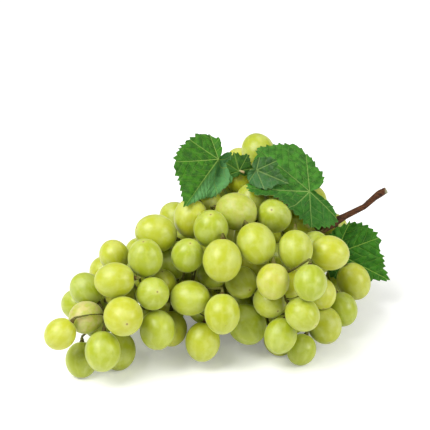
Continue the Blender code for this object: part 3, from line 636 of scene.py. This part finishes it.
class Berries:
    """Every berry of the model: node, centre, axis from stem end to far end, half width and half length."""

    def __init__(self, nodes, stalk_points):
        self.node, centre, axis, wide, long = [], [], [], [], []
        for node in nodes:
            clusters = berry_clusters(merged_copy(node))
            for points in (berry for cluster in clusters for berry in told_apart(cluster)):
                middle, way, across, along = fitted_berry(points)
                poles = [middle - way * along, middle + way * along]
                ends = [np.linalg.norm(stalk_points - pole, axis=1).min() for pole in poles]
                self.node.append(node)
                centre.append(middle)
                axis.append(way if ends[0] < ends[1] else -way)
                wide.append(across)
                long.append(along)
        self.centre, self.axis = np.array(centre), np.array(axis)
        self.wide, self.long = np.array(wide), np.array(long)

    def reach(self, k, way):
        """How far berry k extends along a direction."""
        turn = self.axis[k] @ way
        return math.sqrt(self.wide[k] ** 2 + (self.long[k] ** 2 - self.wide[k] ** 2) * turn**2)


def berry_tree():
    """Grows a finely shaped berry on each point, turned and sized by the point's own attributes."""
    tree, given, out = new_nodes_tree("grow berries", {
        "Faces across": ("NodeSocketInt", ACROSS), "Faces along": ("NodeSocketInt", ALONG),
        "Stem dimple": (FLOAT, STEM_DIMPLE), "Far dimple": (FLOAT, FAR_DIMPLE), "Taper": (FLOAT, TAPER),
        "Lump": (FLOAT, LUMP * MM), "Lump scale": (FLOAT, LUMP_SCALE), "Skin": ("NodeSocketMaterial", None),
    })
    ball = tree.add("GeometryNodeMeshUVSphere", given["Faces across"], given["Faces along"], 1.0).outputs[0]
    place = tree.add("GeometryNodeInputPosition").outputs[0]
    kept = tree.add("GeometryNodeStoreNamedAttribute", {"Geometry": ball, "Name": "skin"},
                    data_type="FLOAT_VECTOR", domain="POINT")
    tree.link(place, kept.inputs["Value"])
    x, y, z = tree.add("ShaderNodeSeparateXYZ", place).outputs
    away = tree.plus(tree.times(x, x), tree.times(y, y))
    far_half = tree.math("GREATER_THAN", z, 0.0)
    stem_half = tree.minus(1.0, far_half)
    stem_pit = tree.times(tree.math("EXPONENT", tree.times(away, -18.0)), given["Stem dimple"])
    far_pit = tree.times(tree.math("EXPONENT", tree.times(away, -60.0)), given["Far dimple"])
    lifted = tree.plus(z, tree.times(stem_pit, stem_half))
    lifted = tree.minus(lifted, tree.times(far_pit, far_half))
    slim = tree.minus(1.0, tree.times(tree.math("MAXIMUM", z, 0.0), given["Taper"]))
    shaped = tree.add("ShaderNodeCombineXYZ", tree.times(x, slim), tree.times(y, slim), lifted).outputs[0]
    berry = tree.add("GeometryNodeSetPosition", {"Geometry": kept.outputs[0], "Position": shaped})
    turn = tree.stored("turn", "FLOAT_VECTOR")
    size = tree.stored("size", "FLOAT_VECTOR")
    grown = tree.add("GeometryNodeInstanceOnPoints", {
        "Points": given["Geometry"], "Instance": berry.outputs[0], "Rotation": turn, "Scale": size,
    })
    real = tree.add("GeometryNodeRealizeInstances", grown.outputs[0])
    uneven = tree.noise(place, given["Lump scale"], 1.0)
    lump = tree.times(tree.minus(uneven, 0.55), given["Lump"])
    lumped = tree.pushed(real.outputs[0], lump)
    return tree.finish(lumped.outputs[0], given["Skin"], out)


def pressed(places, k, berries):
    """One berry's vertices, flattened where its neighbours and the table press on it."""
    soft = SOFT_PRESS * MM
    offset = berries.centre - berries.centre[k]
    apart = np.linalg.norm(offset, axis=1)
    for other in np.where((apart > 0) & (apart < berries.long[k] + berries.long.max()))[0]:
        way = offset[other] / apart[other]
        mine, theirs = berries.reach(k, way), berries.reach(other, -way)
        limit = min(mine, mine + (apart[other] - mine - theirs) / 2) - SKIN_GAP * MM / 2
        over = (places - berries.centre[k]) @ way - limit
        near = over > -8 * soft
        held = -soft * np.log1p(np.exp(-over[near] / soft))
        places[near] += (held - over[near])[:, None] * way
    low = places[:, 2] < 8 * soft
    places[low, 2] = soft * np.log1p(np.exp(np.maximum(places[low, 2], -20 * soft) / soft))
    return places


def make_berries(berries, tree, skin):
    """One piece for each berry node of the model."""
    rng = np.random.default_rng(SEED)
    tone = rng.uniform(0, 1, len(berries.node))
    spin = rng.uniform(0, 2 * math.pi, len(berries.node))
    for node in dict.fromkeys(berries.node):
        own = [k for k, name in enumerate(berries.node) if name == node]
        points = bpy.data.meshes.new(node)
        points.from_pydata([tuple(berries.centre[k]) for k in own], [], [])
        turns, russets = [], []
        for k in own:
            upright = Vector(berries.axis[k]).to_track_quat("Z", "X")
            turns.append((upright.to_matrix() @ Matrix.Rotation(spin[k], 3, "Z")).to_euler())
            lowest = berries.centre[k][2] == berries.centre[own][:, 2].min()
            russets.append(RUSSET_BERRIES.get(node, 0.0) if lowest else 0.0)
        give(points, "turn", turns, "FLOAT_VECTOR")
        size = np.stack([berries.wide, berries.wide, berries.long], axis=1)[own]
        give(points, "size", size, "FLOAT_VECTOR")
        give(points, "tone", tone[own])
        give(points, "russet", russets)
        piece = new_piece("grapes_" + node.split("_", 1)[1], points)
        mesh = run_tree(piece, tree, {
            "Faces across": ACROSS, "Faces along": ALONG, "Taper": TAPER, "Stem dimple": STEM_DIMPLE,
            "Far dimple": FAR_DIMPLE, "Lump": LUMP * MM, "Lump scale": LUMP_SCALE, "Skin": skin,
        })
        places = corners(mesh).reshape(len(own), -1, 3)
        for place, k in enumerate(own):
            places[place] = pressed(places[place], k, berries)
        set_corners(mesh, places.reshape(-1, 3))
        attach(piece, "root")
        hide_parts(node)


def collar_tree():
    """A small warty collar on each point, where a stem holds its berry."""
    sizes = {name: (FLOAT, value * MM) for name, value in COLLAR.items()}
    tree, given, out = new_nodes_tree("stem collars", {**sizes, "Bark": ("NodeSocketMaterial", None)})
    cone = tree.add("GeometryNodeMeshCone", {
        "Vertices": 10, "Side Segments": 3, "Radius Top": given["Narrow end"],
        "Radius Bottom": given["Wide end"], "Depth": given["Height"],
    }).outputs[0]
    turn = tree.stored("turn", "FLOAT_VECTOR")
    grown = tree.add("GeometryNodeInstanceOnPoints",
                     {"Points": given["Geometry"], "Instance": cone, "Rotation": turn})
    real = tree.add("GeometryNodeRealizeInstances", grown.outputs[0])
    place = tree.add("GeometryNodeInputPosition").outputs[0]
    rough = tree.noise(place, 900.0)
    worn = tree.pushed(real.outputs[0], tree.times(tree.minus(rough, 0.5), given["Unevenness"]))
    return tree.finish(worn.outputs[0], given["Bark"], out)


def make_collars(berries, bark_material):
    """The collar of every berry's stem, as one piece."""
    rng = np.random.default_rng(SEED + 1)
    points = bpy.data.meshes.new("collars")
    # The cone's wide end sits on the berry, so each point is a little off the bottom of the dimple.
    seats = berries.centre - berries.axis * (berries.long * (1 - STEM_DIMPLE) + COLLAR_SEAT * MM)[:, None]
    points.from_pydata(seats.tolist(), [], [])
    turns = [(Vector(-way).to_track_quat("Z", "X").to_matrix() @ Matrix.Rotation(spin, 3, "Z")).to_euler()
             for way, spin in zip(berries.axis, rng.uniform(0, 6, len(seats)))]
    give(points, "turn", [tuple(turn) for turn in turns], "FLOAT_VECTOR")
    give(points, "wood", rng.uniform(0.1, 0.9, len(seats)))
    give(points, "cut", np.zeros(len(seats)))
    piece = new_piece("stem_collars", points)
    sizes = {name: value * MM for name, value in COLLAR.items()}
    run_tree(piece, collar_tree(), {**sizes, "Bark": bark_material})
    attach(piece, "root")


# ---------------------------------------------------------------- stalk


def wart_tree():
    """Joins small warts to the stalk, thickest where it is woody, and gives it all its bark."""
    tree, given, out = new_nodes_tree("bark warts", {
        "Density": (FLOAT, WART_DENSITY), "Wart size": (FLOAT, WART_SIZE * MM),
        "Seed": ("NodeSocketInt", SEED), "Bark": ("NodeSocketMaterial", None),
    })
    wood = tree.stored("wood", "FLOAT")
    thick = tree.times(wood, given["Density"])
    spread = tree.add("GeometryNodeDistributePointsOnFaces", {"Mesh": given["Geometry"], "Density": thick,
                                                              "Seed": given["Seed"]})
    wart = tree.add("GeometryNodeMeshIcoSphere", {"Radius": 1.0, "Subdivisions": 1}).outputs[0]
    random = tree.add("FunctionNodeRandomValue", {"Seed": given["Seed"]}, data_type="FLOAT")
    random.inputs[2].default_value = 0.5
    random.inputs[3].default_value = 1.4
    size = tree.times(random.outputs[1], given["Wart size"])
    flat = tree.add("ShaderNodeCombineXYZ", size, size, tree.times(size, 0.6)).outputs[0]
    grown = tree.add("GeometryNodeInstanceOnPoints", {
        "Points": spread.outputs["Points"], "Instance": wart, "Rotation": spread.outputs["Rotation"],
        "Scale": flat,
    })
    joined = tree.add("GeometryNodeJoinGeometry")
    tree.link(grown.outputs[0], joined.inputs[0])
    tree.link(given["Geometry"], joined.inputs[0])
    real = tree.add("GeometryNodeRealizeInstances", joined.outputs[0])
    return tree.finish(real.outputs[0], given["Bark"], out)


def rounded_copy(name, mesh, voxel, rounds, swell):
    """The mesh remade in fine even faces, smoothed, and swollen by what the smoothing took."""
    piece = new_piece(name, mesh)
    remake = piece.modifiers.new("even faces", "REMESH")
    remake.mode = "VOXEL"
    remake.voxel_size = voxel
    smooth = piece.modifiers.new("rounded", "SMOOTH")
    smooth.factor = 0.5
    smooth.iterations = rounds
    bpy.context.view_layer.update()
    result = bpy.data.meshes.new_from_object(piece.evaluated_get(bpy.context.evaluated_depsgraph_get()))
    piece.modifiers.clear()
    piece.data = result
    bpy.data.meshes.remove(mesh)
    places = corners(result)
    normals = np.empty(len(result.vertices) * 3, np.float32)
    result.vertices.foreach_get("normal", normals)
    set_corners(result, places + normals.reshape(-1, 3) * swell)
    return piece


def make_stalk(bark_material):
    """The model's stalk, rounded, woody beyond the berries and with its fibres showing at the cut end."""
    stalk = merged_copy("stalk")
    piece = rounded_copy("stalk_and_stems", stalk, VOXEL * MM, STALK_ROUNDS, STALK_SWELL * MM)
    places = corners(piece.data) / MM
    from_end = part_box("stalk")[1][0] / MM - places[:, 0]
    wood = np.clip((WOOD_START - from_end) / (WOOD_START - WOOD_WHOLE), 0, 1)
    wood *= np.clip((places[:, 2] - WOOD_HEIGHT) / WOOD_RISE, 0, 1)
    give(piece.data, "wood", 0.25 + 0.75 * wood)
    give(piece.data, "cut", np.clip((CUT_START - from_end) / (CUT_START - CUT_WHOLE), 0, 1))
    run_tree(piece, wart_tree(), {
        "Density": WART_DENSITY, "Wart size": WART_SIZE * MM, "Seed": SEED, "Bark": bark_material,
    })
    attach(piece, "root")
    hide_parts("stalk")


# ---------------------------------------------------------------- leaves


class Plan:
    """A leaf's plan: polar round the place where its stem joins, folded along the midrib and cupped."""

    def __init__(self, plan):
        base, tip, side = (np.array(plan[key], float) + DESIGN_SHIFT for key in ("base", "tip", "side"))
        self.base = base
        self.midrib = unit(tip - base)
        self.normal = unit(np.cross(self.midrib, side - base))
        if self.normal @ (0, -0.5, 1) < 0:
            self.normal = -self.normal
        self.side = unit((side - base) - self.midrib * ((side - base) @ self.midrib))
        self.folds, self.cup = np.radians(plan["folds"]), plan["cup"]
        down = [(-angle, length) for angle, length in reversed(plan["down"])]
        self.outline = [*down, *plan["up"], (180, plan["up"][-1][1])]
        self.longest = max(length for _, length in self.outline)
        self.veins = np.radians(plan["veins"])

    def length(self, angle):
        """How far the outline is from the base, at angles in degrees."""
        angles, lengths = zip((self.outline[-1][0] - 360, self.outline[-1][1]), *self.outline)
        return np.interp(angle, angles, lengths)

    def points(self, angle, out):
        """Points at angles in degrees and distances out, before the blade is laid down."""
        turn = np.radians(angle)
        along, across = out * np.cos(turn), out * np.abs(np.sin(turn))
        upper = np.sin(turn) > 0
        fold = np.where(upper, self.folds[0], self.folds[1])
        sign = np.where(upper, 1.0, -1.0)
        lift = -across * np.sin(fold) - self.cup * (out / self.longest) ** 2
        return (
            self.base
            + along[..., None] * self.midrib
            + (across * sign * np.cos(fold))[..., None] * self.side
            + lift[..., None] * self.normal
        )

    def model_rise(self, surface):
        """The model's blade over the plan: angles, shares of the length, rises, and its points in space."""
        angles = []
        for (a, first), (b, second) in zip(self.outline[:-1], self.outline[1:]):
            parts = max(1, round(math.radians(b - a) * max(first, second) / MODEL_CELL))
            angles += [a + (b - a) * k / parts for k in range(1, parts + 1)]
        angles = np.array(angles)
        rings = max(3, round(self.longest / MODEL_CELL))
        shares = np.arange(1, rings + 1) / rings
        shares[-1] -= INSIDE_RIM
        at = self.points(angles[None], shares[:, None] * self.length(angles))
        whole = self.points(angles[None], np.arange(1, rings + 1)[:, None] / rings * self.length(angles))
        rise = np.full(at.shape[:2], np.nan)
        for k, j in np.ndindex(*rise.shape):
            start = Vector((at[k, j] + self.normal * WELL_ABOVE) * MM)
            hit = surface.ray_cast(start, Vector(-self.normal))[0]
            if hit is not None:
                rise[k, j] = (np.array(hit) / MM - at[k, j]) @ self.normal - MODEL_HALF_THICK
        for k in range(rings):
            known = ~np.isnan(rise[k])
            if known.any():
                rise[k] = np.interp(angles, angles[known], rise[k][known], period=360)
            else:
                rise[k] = rise[k - 1]
        model_points = (whole + rise[..., None] * self.normal).reshape(-1, 3)
        rise = np.vstack([rise[0].mean().repeat(len(angles)), rise])
        return angles, np.concatenate([[0], shares]), rise, model_points


def vein_distances(plan, along, across):
    """For points of a plan, millimetres to the nearest main vein and to the nearest side vein."""
    turn = np.arctan2(across, along)
    out = np.hypot(along, across)
    off = (turn[..., None] - plan.veins + math.pi) % (2 * math.pi) - math.pi
    nearest = np.abs(off).argmin(axis=-1)
    angle = np.take_along_axis(off, nearest[..., None], axis=-1)[..., 0]
    ahead, aside = out * np.cos(angle), out * np.abs(np.sin(angle))
    main = np.where(ahead > 0, aside, out)
    count = (ahead - aside * VEIN_SLOPE) / VEIN_SPACING + np.where(angle > 0, 0.5, 0.0)
    side = np.abs(count % 1 - 0.5) * VEIN_SPACING
    return main, np.where(count > 0.9, side, 3.0)


def toothed(plan, angles):
    """The outline's length at the angles with its teeth, which lean towards the tip of each half."""
    length = plan.length(angles)
    edge = np.stack([length * np.cos(np.radians(angles)), length * np.sin(np.radians(angles))], axis=1)
    run = np.concatenate([[0], np.cumsum(np.linalg.norm(np.diff(edge, axis=0), axis=1))])
    scale = min(1.0, plan.longest / GROWN)
    width = TOOTH_WIDTH * (0.45 + 0.55 * scale)
    phase = run / width + 0.22 * np.sin(run / 5.3) + 0.15 * np.sin(run / 2.9 + 1)
    share = phase % 1
    share = np.where(angles > 0, 1 - share, share)
    tooth = np.where(share < 0.62, (share / 0.62) ** 1.25, ((1 - share) / 0.38) ** 0.9)
    size = 0.75 + 0.35 * np.sin(np.floor(phase) * 2.3)
    notch = np.clip(length / 10 - 0.3, 0, 1)
    return length + (tooth - 0.35) * TOOTH_HEIGHT * max(scale, YOUNG_TEETH) * size * notch


def rim_angles(plan):
    """Angles round a leaf, in even steps along its outline."""
    angles = np.linspace(-180, 180, 4001)
    length = plan.length(angles)
    edge = np.stack([length * np.cos(np.radians(angles)), length * np.sin(np.radians(angles))], axis=1)
    run = np.concatenate([[0], np.cumsum(np.linalg.norm(np.diff(edge, axis=0), axis=1) + LEAST_STEP)])
    rays = int(run[-1] / RIM_STEP)
    return np.interp(np.arange(rays) * run[-1] / rays, run, angles)


def laid_rise(angles, shares, model):
    """The model's rises carried to the fine blade's angles and shares, and smoothed."""
    coarse_angles, coarse_shares, coarse_rise = model
    by_angle = np.array([np.interp(angles, coarse_angles, row, period=360) for row in coarse_rise])
    rise = np.array([np.interp(shares, coarse_shares, column) for column in by_angle.T]).T
    for _ in range(SMOOTH_ROUNDS):
        level = (np.roll(rise, 1, axis=1) + np.roll(rise, -1, axis=1)) / 2
        rise = (rise + level) / 2
        rise[1:-1] = (2 * rise[1:-1] + rise[:-2] + rise[2:]) / 4
    return rise


def leaf_faces(plan, rise, angles, shares, along, across):
    """The blade's upper and lower points: puffed between the veins, wavy at the rim, ribbed below."""
    turn = np.radians(angles)[None]
    main, side = vein_distances(plan, along, across)
    near = np.minimum(main, side * 1.25)
    young = min(1.0, plan.longest / GROWN)
    puff = 0.5 * young * (1 - np.exp(-((near / 1.1) ** 2)))
    puff += 0.55 * young * (1 - np.exp(-((main / 3.5) ** 2)))
    flutter = shares[:, None] ** 3 * young
    wave = 0.9 * flutter * (1 + np.sin(turn * 7 + plan.longest)) + 0.5 * flutter * np.sin(turn * 17 + 2)
    height = (rise + puff + wave)[..., None]
    middle = plan.points(angles[None], np.hypot(along, across)) + height * plan.normal
    centre = plan.base + plan.normal * rise[0].mean()

    inner = np.broadcast_to(centre, (1, len(angles), 3))
    ring_gap = np.gradient(np.concatenate([inner, middle]), axis=0)[1:]
    ray_gap = (np.roll(middle, -1, axis=1) - np.roll(middle, 1, axis=1)) / 2
    normal = unit(np.cross(ring_gap, ray_gap))
    if (normal @ plan.normal).mean() < 0:
        normal = -normal
    thin = 1 - 0.5 * shares[:, None] ** 6
    rib = 0.55 * young * np.exp(-((main / 0.55) ** 2)) * (1 - 0.75 * shares[:, None])
    rib += 0.16 * young * np.exp(-((side / 0.4) ** 2))
    upper = middle + (BLADE_HALF_THICK * thin)[..., None] * normal
    lower = middle - (BLADE_HALF_THICK * thin + rib * thin)[..., None] * normal
    middles = [centre + BLADE_HALF_THICK * plan.normal, centre - BLADE_HALF_THICK * 3 * plan.normal]
    return np.concatenate([upper.reshape(-1, 3), lower.reshape(-1, 3), middles])


def blade_mesh(name, verts, rings, rays):
    """A closed blade from its upper points, its lower points and the middle of each face."""
    count = rings * rays
    grid = np.arange(count).reshape(rings, rays)
    after = np.roll(grid, -1, axis=1)
    quads = np.stack([grid[:-1], grid[1:], after[1:], after[:-1]], axis=-1).reshape(-1, 4)
    rim = np.stack([grid[-1], grid[-1] + count, after[-1] + count, after[-1]], axis=-1)
    faces = [*quads.tolist(), *(quads[:, ::-1] + count).tolist(), *rim.tolist()]
    faces += [(2 * count, grid[0, k], after[0, k]) for k in range(rays)]
    faces += [(2 * count + 1, after[0, k] + count, grid[0, k] + count) for k in range(rays)]
    blade = bpy.data.meshes.new(name)
    blade.from_pydata((verts * MM).tolist(), [], [tuple(int(i) for i in face) for face in faces])
    blade.shade_smooth()
    return blade


def mark_blade(blade, shares, along, across):
    """Stores what the leaf's material follows: its underside, its two halves, of which the one folding down
    takes a painted sheen, its rim and its plan.
    """
    rays = along.shape[1]
    count = along.size
    flat = np.stack([along.ravel(), across.ravel()], axis=1)
    flat = np.concatenate([flat, flat, np.zeros((2, 2))])
    outward = shares.repeat(rays)
    give(blade, "under", np.repeat([0.0, 1.0, 0.0, 1.0], [count, count, 1, 1]))
    give(blade, "across", flat[:, 1])
    give(blade, "outward", np.concatenate([outward, outward, [0, 0]]))
    uv = blade.uv_layers.new(name="plan")
    loops = np.empty(len(blade.loops), np.int32)
    blade.loops.foreach_get("vertex_index", loops)
    uv.data.foreach_set("uv", (flat[loops] / PLAN_SPAN + 0.5).astype(np.float32).ravel())


def make_leaf(name, spec, blade_material, stem_material):
    """A leaf: both faces of its blade with their veins in relief, and the model's own stem, rounded."""
    plan = Plan(spec)
    model = merged_copy(name)
    corner_sets = [tuple(face.vertices) for face in model.polygons]
    surface = BVHTree.FromPolygons([v.co for v in model.vertices], corner_sets)
    *model_blade, model_points = plan.model_rise(surface)

    angles = rim_angles(plan)
    rings = int(plan.longest / RING_STEP)
    shares = (np.arange(1, rings + 1) / rings) ** 0.9
    smooth_length = plan.length(angles)
    grow = np.clip((shares[:, None] - TOOTH_ROOT) / (1 - TOOTH_ROOT), 0, 1) ** 1.5
    out = shares[:, None] * (smooth_length + (toothed(plan, angles) - smooth_length) * grow)
    along, across = out * np.cos(np.radians(angles)), out * np.sin(np.radians(angles))
    rise = laid_rise(angles, shares, model_blade)
    blade = blade_mesh(name, leaf_faces(plan, rise, angles, shares, along, across), rings, len(angles))
    mark_blade(blade, shares, along, across)

    piece = new_piece(name + "_blade", blade, blade_material)
    add_leaf_stem(piece, model, model_points, stem_material)
    bm = bmesh.new()
    bm.from_mesh(piece.data)
    bmesh.ops.recalc_face_normals(bm, faces=bm.faces)
    bm.to_mesh(piece.data)
    bm.free()
    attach(piece, "root")
    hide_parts(name)


def stem_of(model, blade_points):
    """The model with only its leaf's stem left: the connected part farthest from the blade, closed."""
    bm = bmesh.new()
    bm.from_mesh(model)
    off = {v: np.linalg.norm(blade_points - np.array(v.co) / MM, axis=1).min() for v in bm.verts}
    gone = [face for face in bm.faces if any(off[v] < BLADE_REACH for v in face.verts)]
    bmesh.ops.delete(bm, geom=gone, context="FACES")
    kept, todo = set(), [max((v for v in bm.verts if v.link_faces), key=off.get)]
    while todo:
        v = todo.pop()
        if v not in kept:
            kept.add(v)
            todo += [edge.other_vert(v) for edge in v.link_edges]
    bmesh.ops.delete(bm, geom=[v for v in bm.verts if v not in kept], context="VERTS")
    bmesh.ops.holes_fill(bm, edges=[e for e in bm.edges if e.is_boundary])
    bmesh.ops.recalc_face_normals(bm, faces=bm.faces)
    stem = bpy.data.meshes.new(model.name + "_stem")
    bm.to_mesh(stem)
    bm.free()
    return stem


def add_leaf_stem(piece, model, blade_points, stem_material):
    """Adds the model's own leaf stem to the blade, rounded and with its own material."""
    stem = stem_of(model, blade_points)
    helper = rounded_copy(piece.name + "_stem", stem, STEM_VOXEL * MM, STALK_ROUNDS, STEM_SWELL * MM)
    bm = bmesh.new()
    bm.from_mesh(piece.data)
    first = len(bm.faces)
    bm.from_mesh(helper.data)
    bm.faces.ensure_lookup_table()
    for face in bm.faces[first:]:
        face.material_index = 1
        face.smooth = True
    bm.to_mesh(piece.data)
    bm.free()
    bpy.data.objects.remove(helper)
    piece.data.materials.append(stem_material)


# ---------------------------------------------------------------- stage

ELEVATION = 28.0
VIEW_DISTANCE, VIEW_WIDTH = 900.0, 258.0  # millimetres
AIM_RISE = 61.8  # how far the aim is above the design's own middle, square to the view
SENSOR = 36.0
FLOOR_REACH = 30.0
SKY_LIGHT, FLOOR_GLOW = 0.47, 0.2


def make_camera():
    tilt = math.radians(ELEVATION)
    look = Vector((0, math.cos(tilt), -math.sin(tilt)))
    up = Vector((0, math.sin(tilt), math.cos(tilt)))
    data = bpy.data.cameras.new("camera")
    data.sensor_width = SENSOR
    data.lens = SENSOR * VIEW_DISTANCE / VIEW_WIDTH
    data.clip_start = 10 * MM
    camera = bpy.data.objects.new("camera", data)
    bpy.context.scene.collection.objects.link(camera)
    camera.location = (Vector(DESIGN_SHIFT) + up * AIM_RISE - look * VIEW_DISTANCE) * MM
    camera.rotation_euler = (math.radians(90 - ELEVATION), 0, 0)
    bpy.context.scene.camera = camera


def add_light(name, place, size, power, colour=(1, 1, 1)):
    """A soft square light that faces the bunch."""
    data = bpy.data.lights.new(name, "AREA")
    data.shape = "SQUARE"
    data.size = size
    data.energy = power
    data.color = colour
    light = bpy.data.objects.new(name, data)
    bpy.context.scene.collection.objects.link(light)
    light.location = place
    light.rotation_euler = (Vector(place) - Vector((0, 0, 0.04))).to_track_quat("Z", "Y").to_euler()


def make_stage():
    """A plain white floor, a large soft light at the upper left, a weaker one at the right, a white sky."""
    mesh = bpy.data.meshes.new("floor")
    ends = ((-1, -1), (1, -1), (1, 1), (-1, 1))
    mesh.from_pydata([(x * FLOOR_REACH, y * FLOOR_REACH, 0) for x, y in ends], [], [(0, 1, 2, 3)])
    material, tree, shader, _ = new_material("floor_white")
    shader.inputs["Base Color"].default_value = (0.93, 0.93, 0.925, 1)
    shader.inputs["Roughness"].default_value = 0.9
    shader.inputs["Specular IOR Level"].default_value = 0.1
    shader.inputs["Emission Color"].default_value = (1, 1, 1, 1)
    seen = tree.add("ShaderNodeLightPath").outputs["Is Camera Ray"]
    tree.link(tree.times(seen, FLOOR_GLOW), shader.inputs["Emission Strength"])
    new_piece("floor", mesh, material)
    add_light("window", (-0.50, -0.30, 0.85), 0.65, 10.5)
    add_light("second_window", (0.80, -0.35, 0.55), 0.45, 4.5)
    world = bpy.data.worlds.new("white_sky")
    world.use_nodes = True
    sky = Tree(world.node_tree)
    seen = sky.add("ShaderNodeLightPath").outputs["Is Camera Ray"]
    ground = world.node_tree.nodes["Background"]
    ground.inputs["Color"].default_value = (1, 1, 1, 1)
    strength = sky.span(seen, 0.0, 1.0, SKY_LIGHT, 1.0)
    world.node_tree.links.new(strength, ground.inputs["Strength"])
    bpy.context.scene.world = world
    bpy.context.scene.view_settings.view_transform = "Standard"


make_camera()
make_stage()

stalk_points = corners(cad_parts["stalk"].data)
berry_nodes = sorted(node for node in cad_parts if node.startswith("berr"))
all_berries = Berries(berry_nodes, stalk_points)
make_berries(all_berries, berry_tree(), grape_skin())
stalk_bark = bark()
make_stalk(stalk_bark)
make_collars(all_berries, stalk_bark)

leaf_stem = leaf_stem_material()
# Each leaf's deep colour, light colour, the colour of its painted sheen on the half that folds down, and its
# veins' colour.
LEAF_LOOKS = {
    "leaf_left": ((0.008, 0.072, 0.002), (0.036, 0.17, 0.004), (0.15, 0.40, 0.15), (0.26, 0.42, 0.08)),
    "leaf_right": ((0.012, 0.088, 0.004), (0.050, 0.21, 0.014), (0.012, 0.10, 0.008), (0.24, 0.38, 0.09)),
    "leaf_low": ((0.010, 0.095, 0.003), (0.035, 0.18, 0.006), (0.012, 0.09, 0.004), (0.28, 0.48, 0.07)),
    "leaf_young_dark": ((0.010, 0.06, 0.003), (0.03, 0.12, 0.006), (0.02, 0.09, 0.005), (0.13, 0.24, 0.03)),
    "leaf_young_silver": ((0.01, 0.06, 0.006), (0.03, 0.12, 0.015), (0.05, 0.17, 0.05), (0.17, 0.28, 0.07)),
}
for leaf_name, leaf_spec in LEAVES.items():
    blade_look = leaf_material(leaf_name, leaf_spec, *LEAF_LOOKS[leaf_name],
                               down=0.08 if leaf_name == "leaf_young_silver" else 0.02)
    make_leaf(leaf_name, leaf_spec, blade_look, leaf_stem)
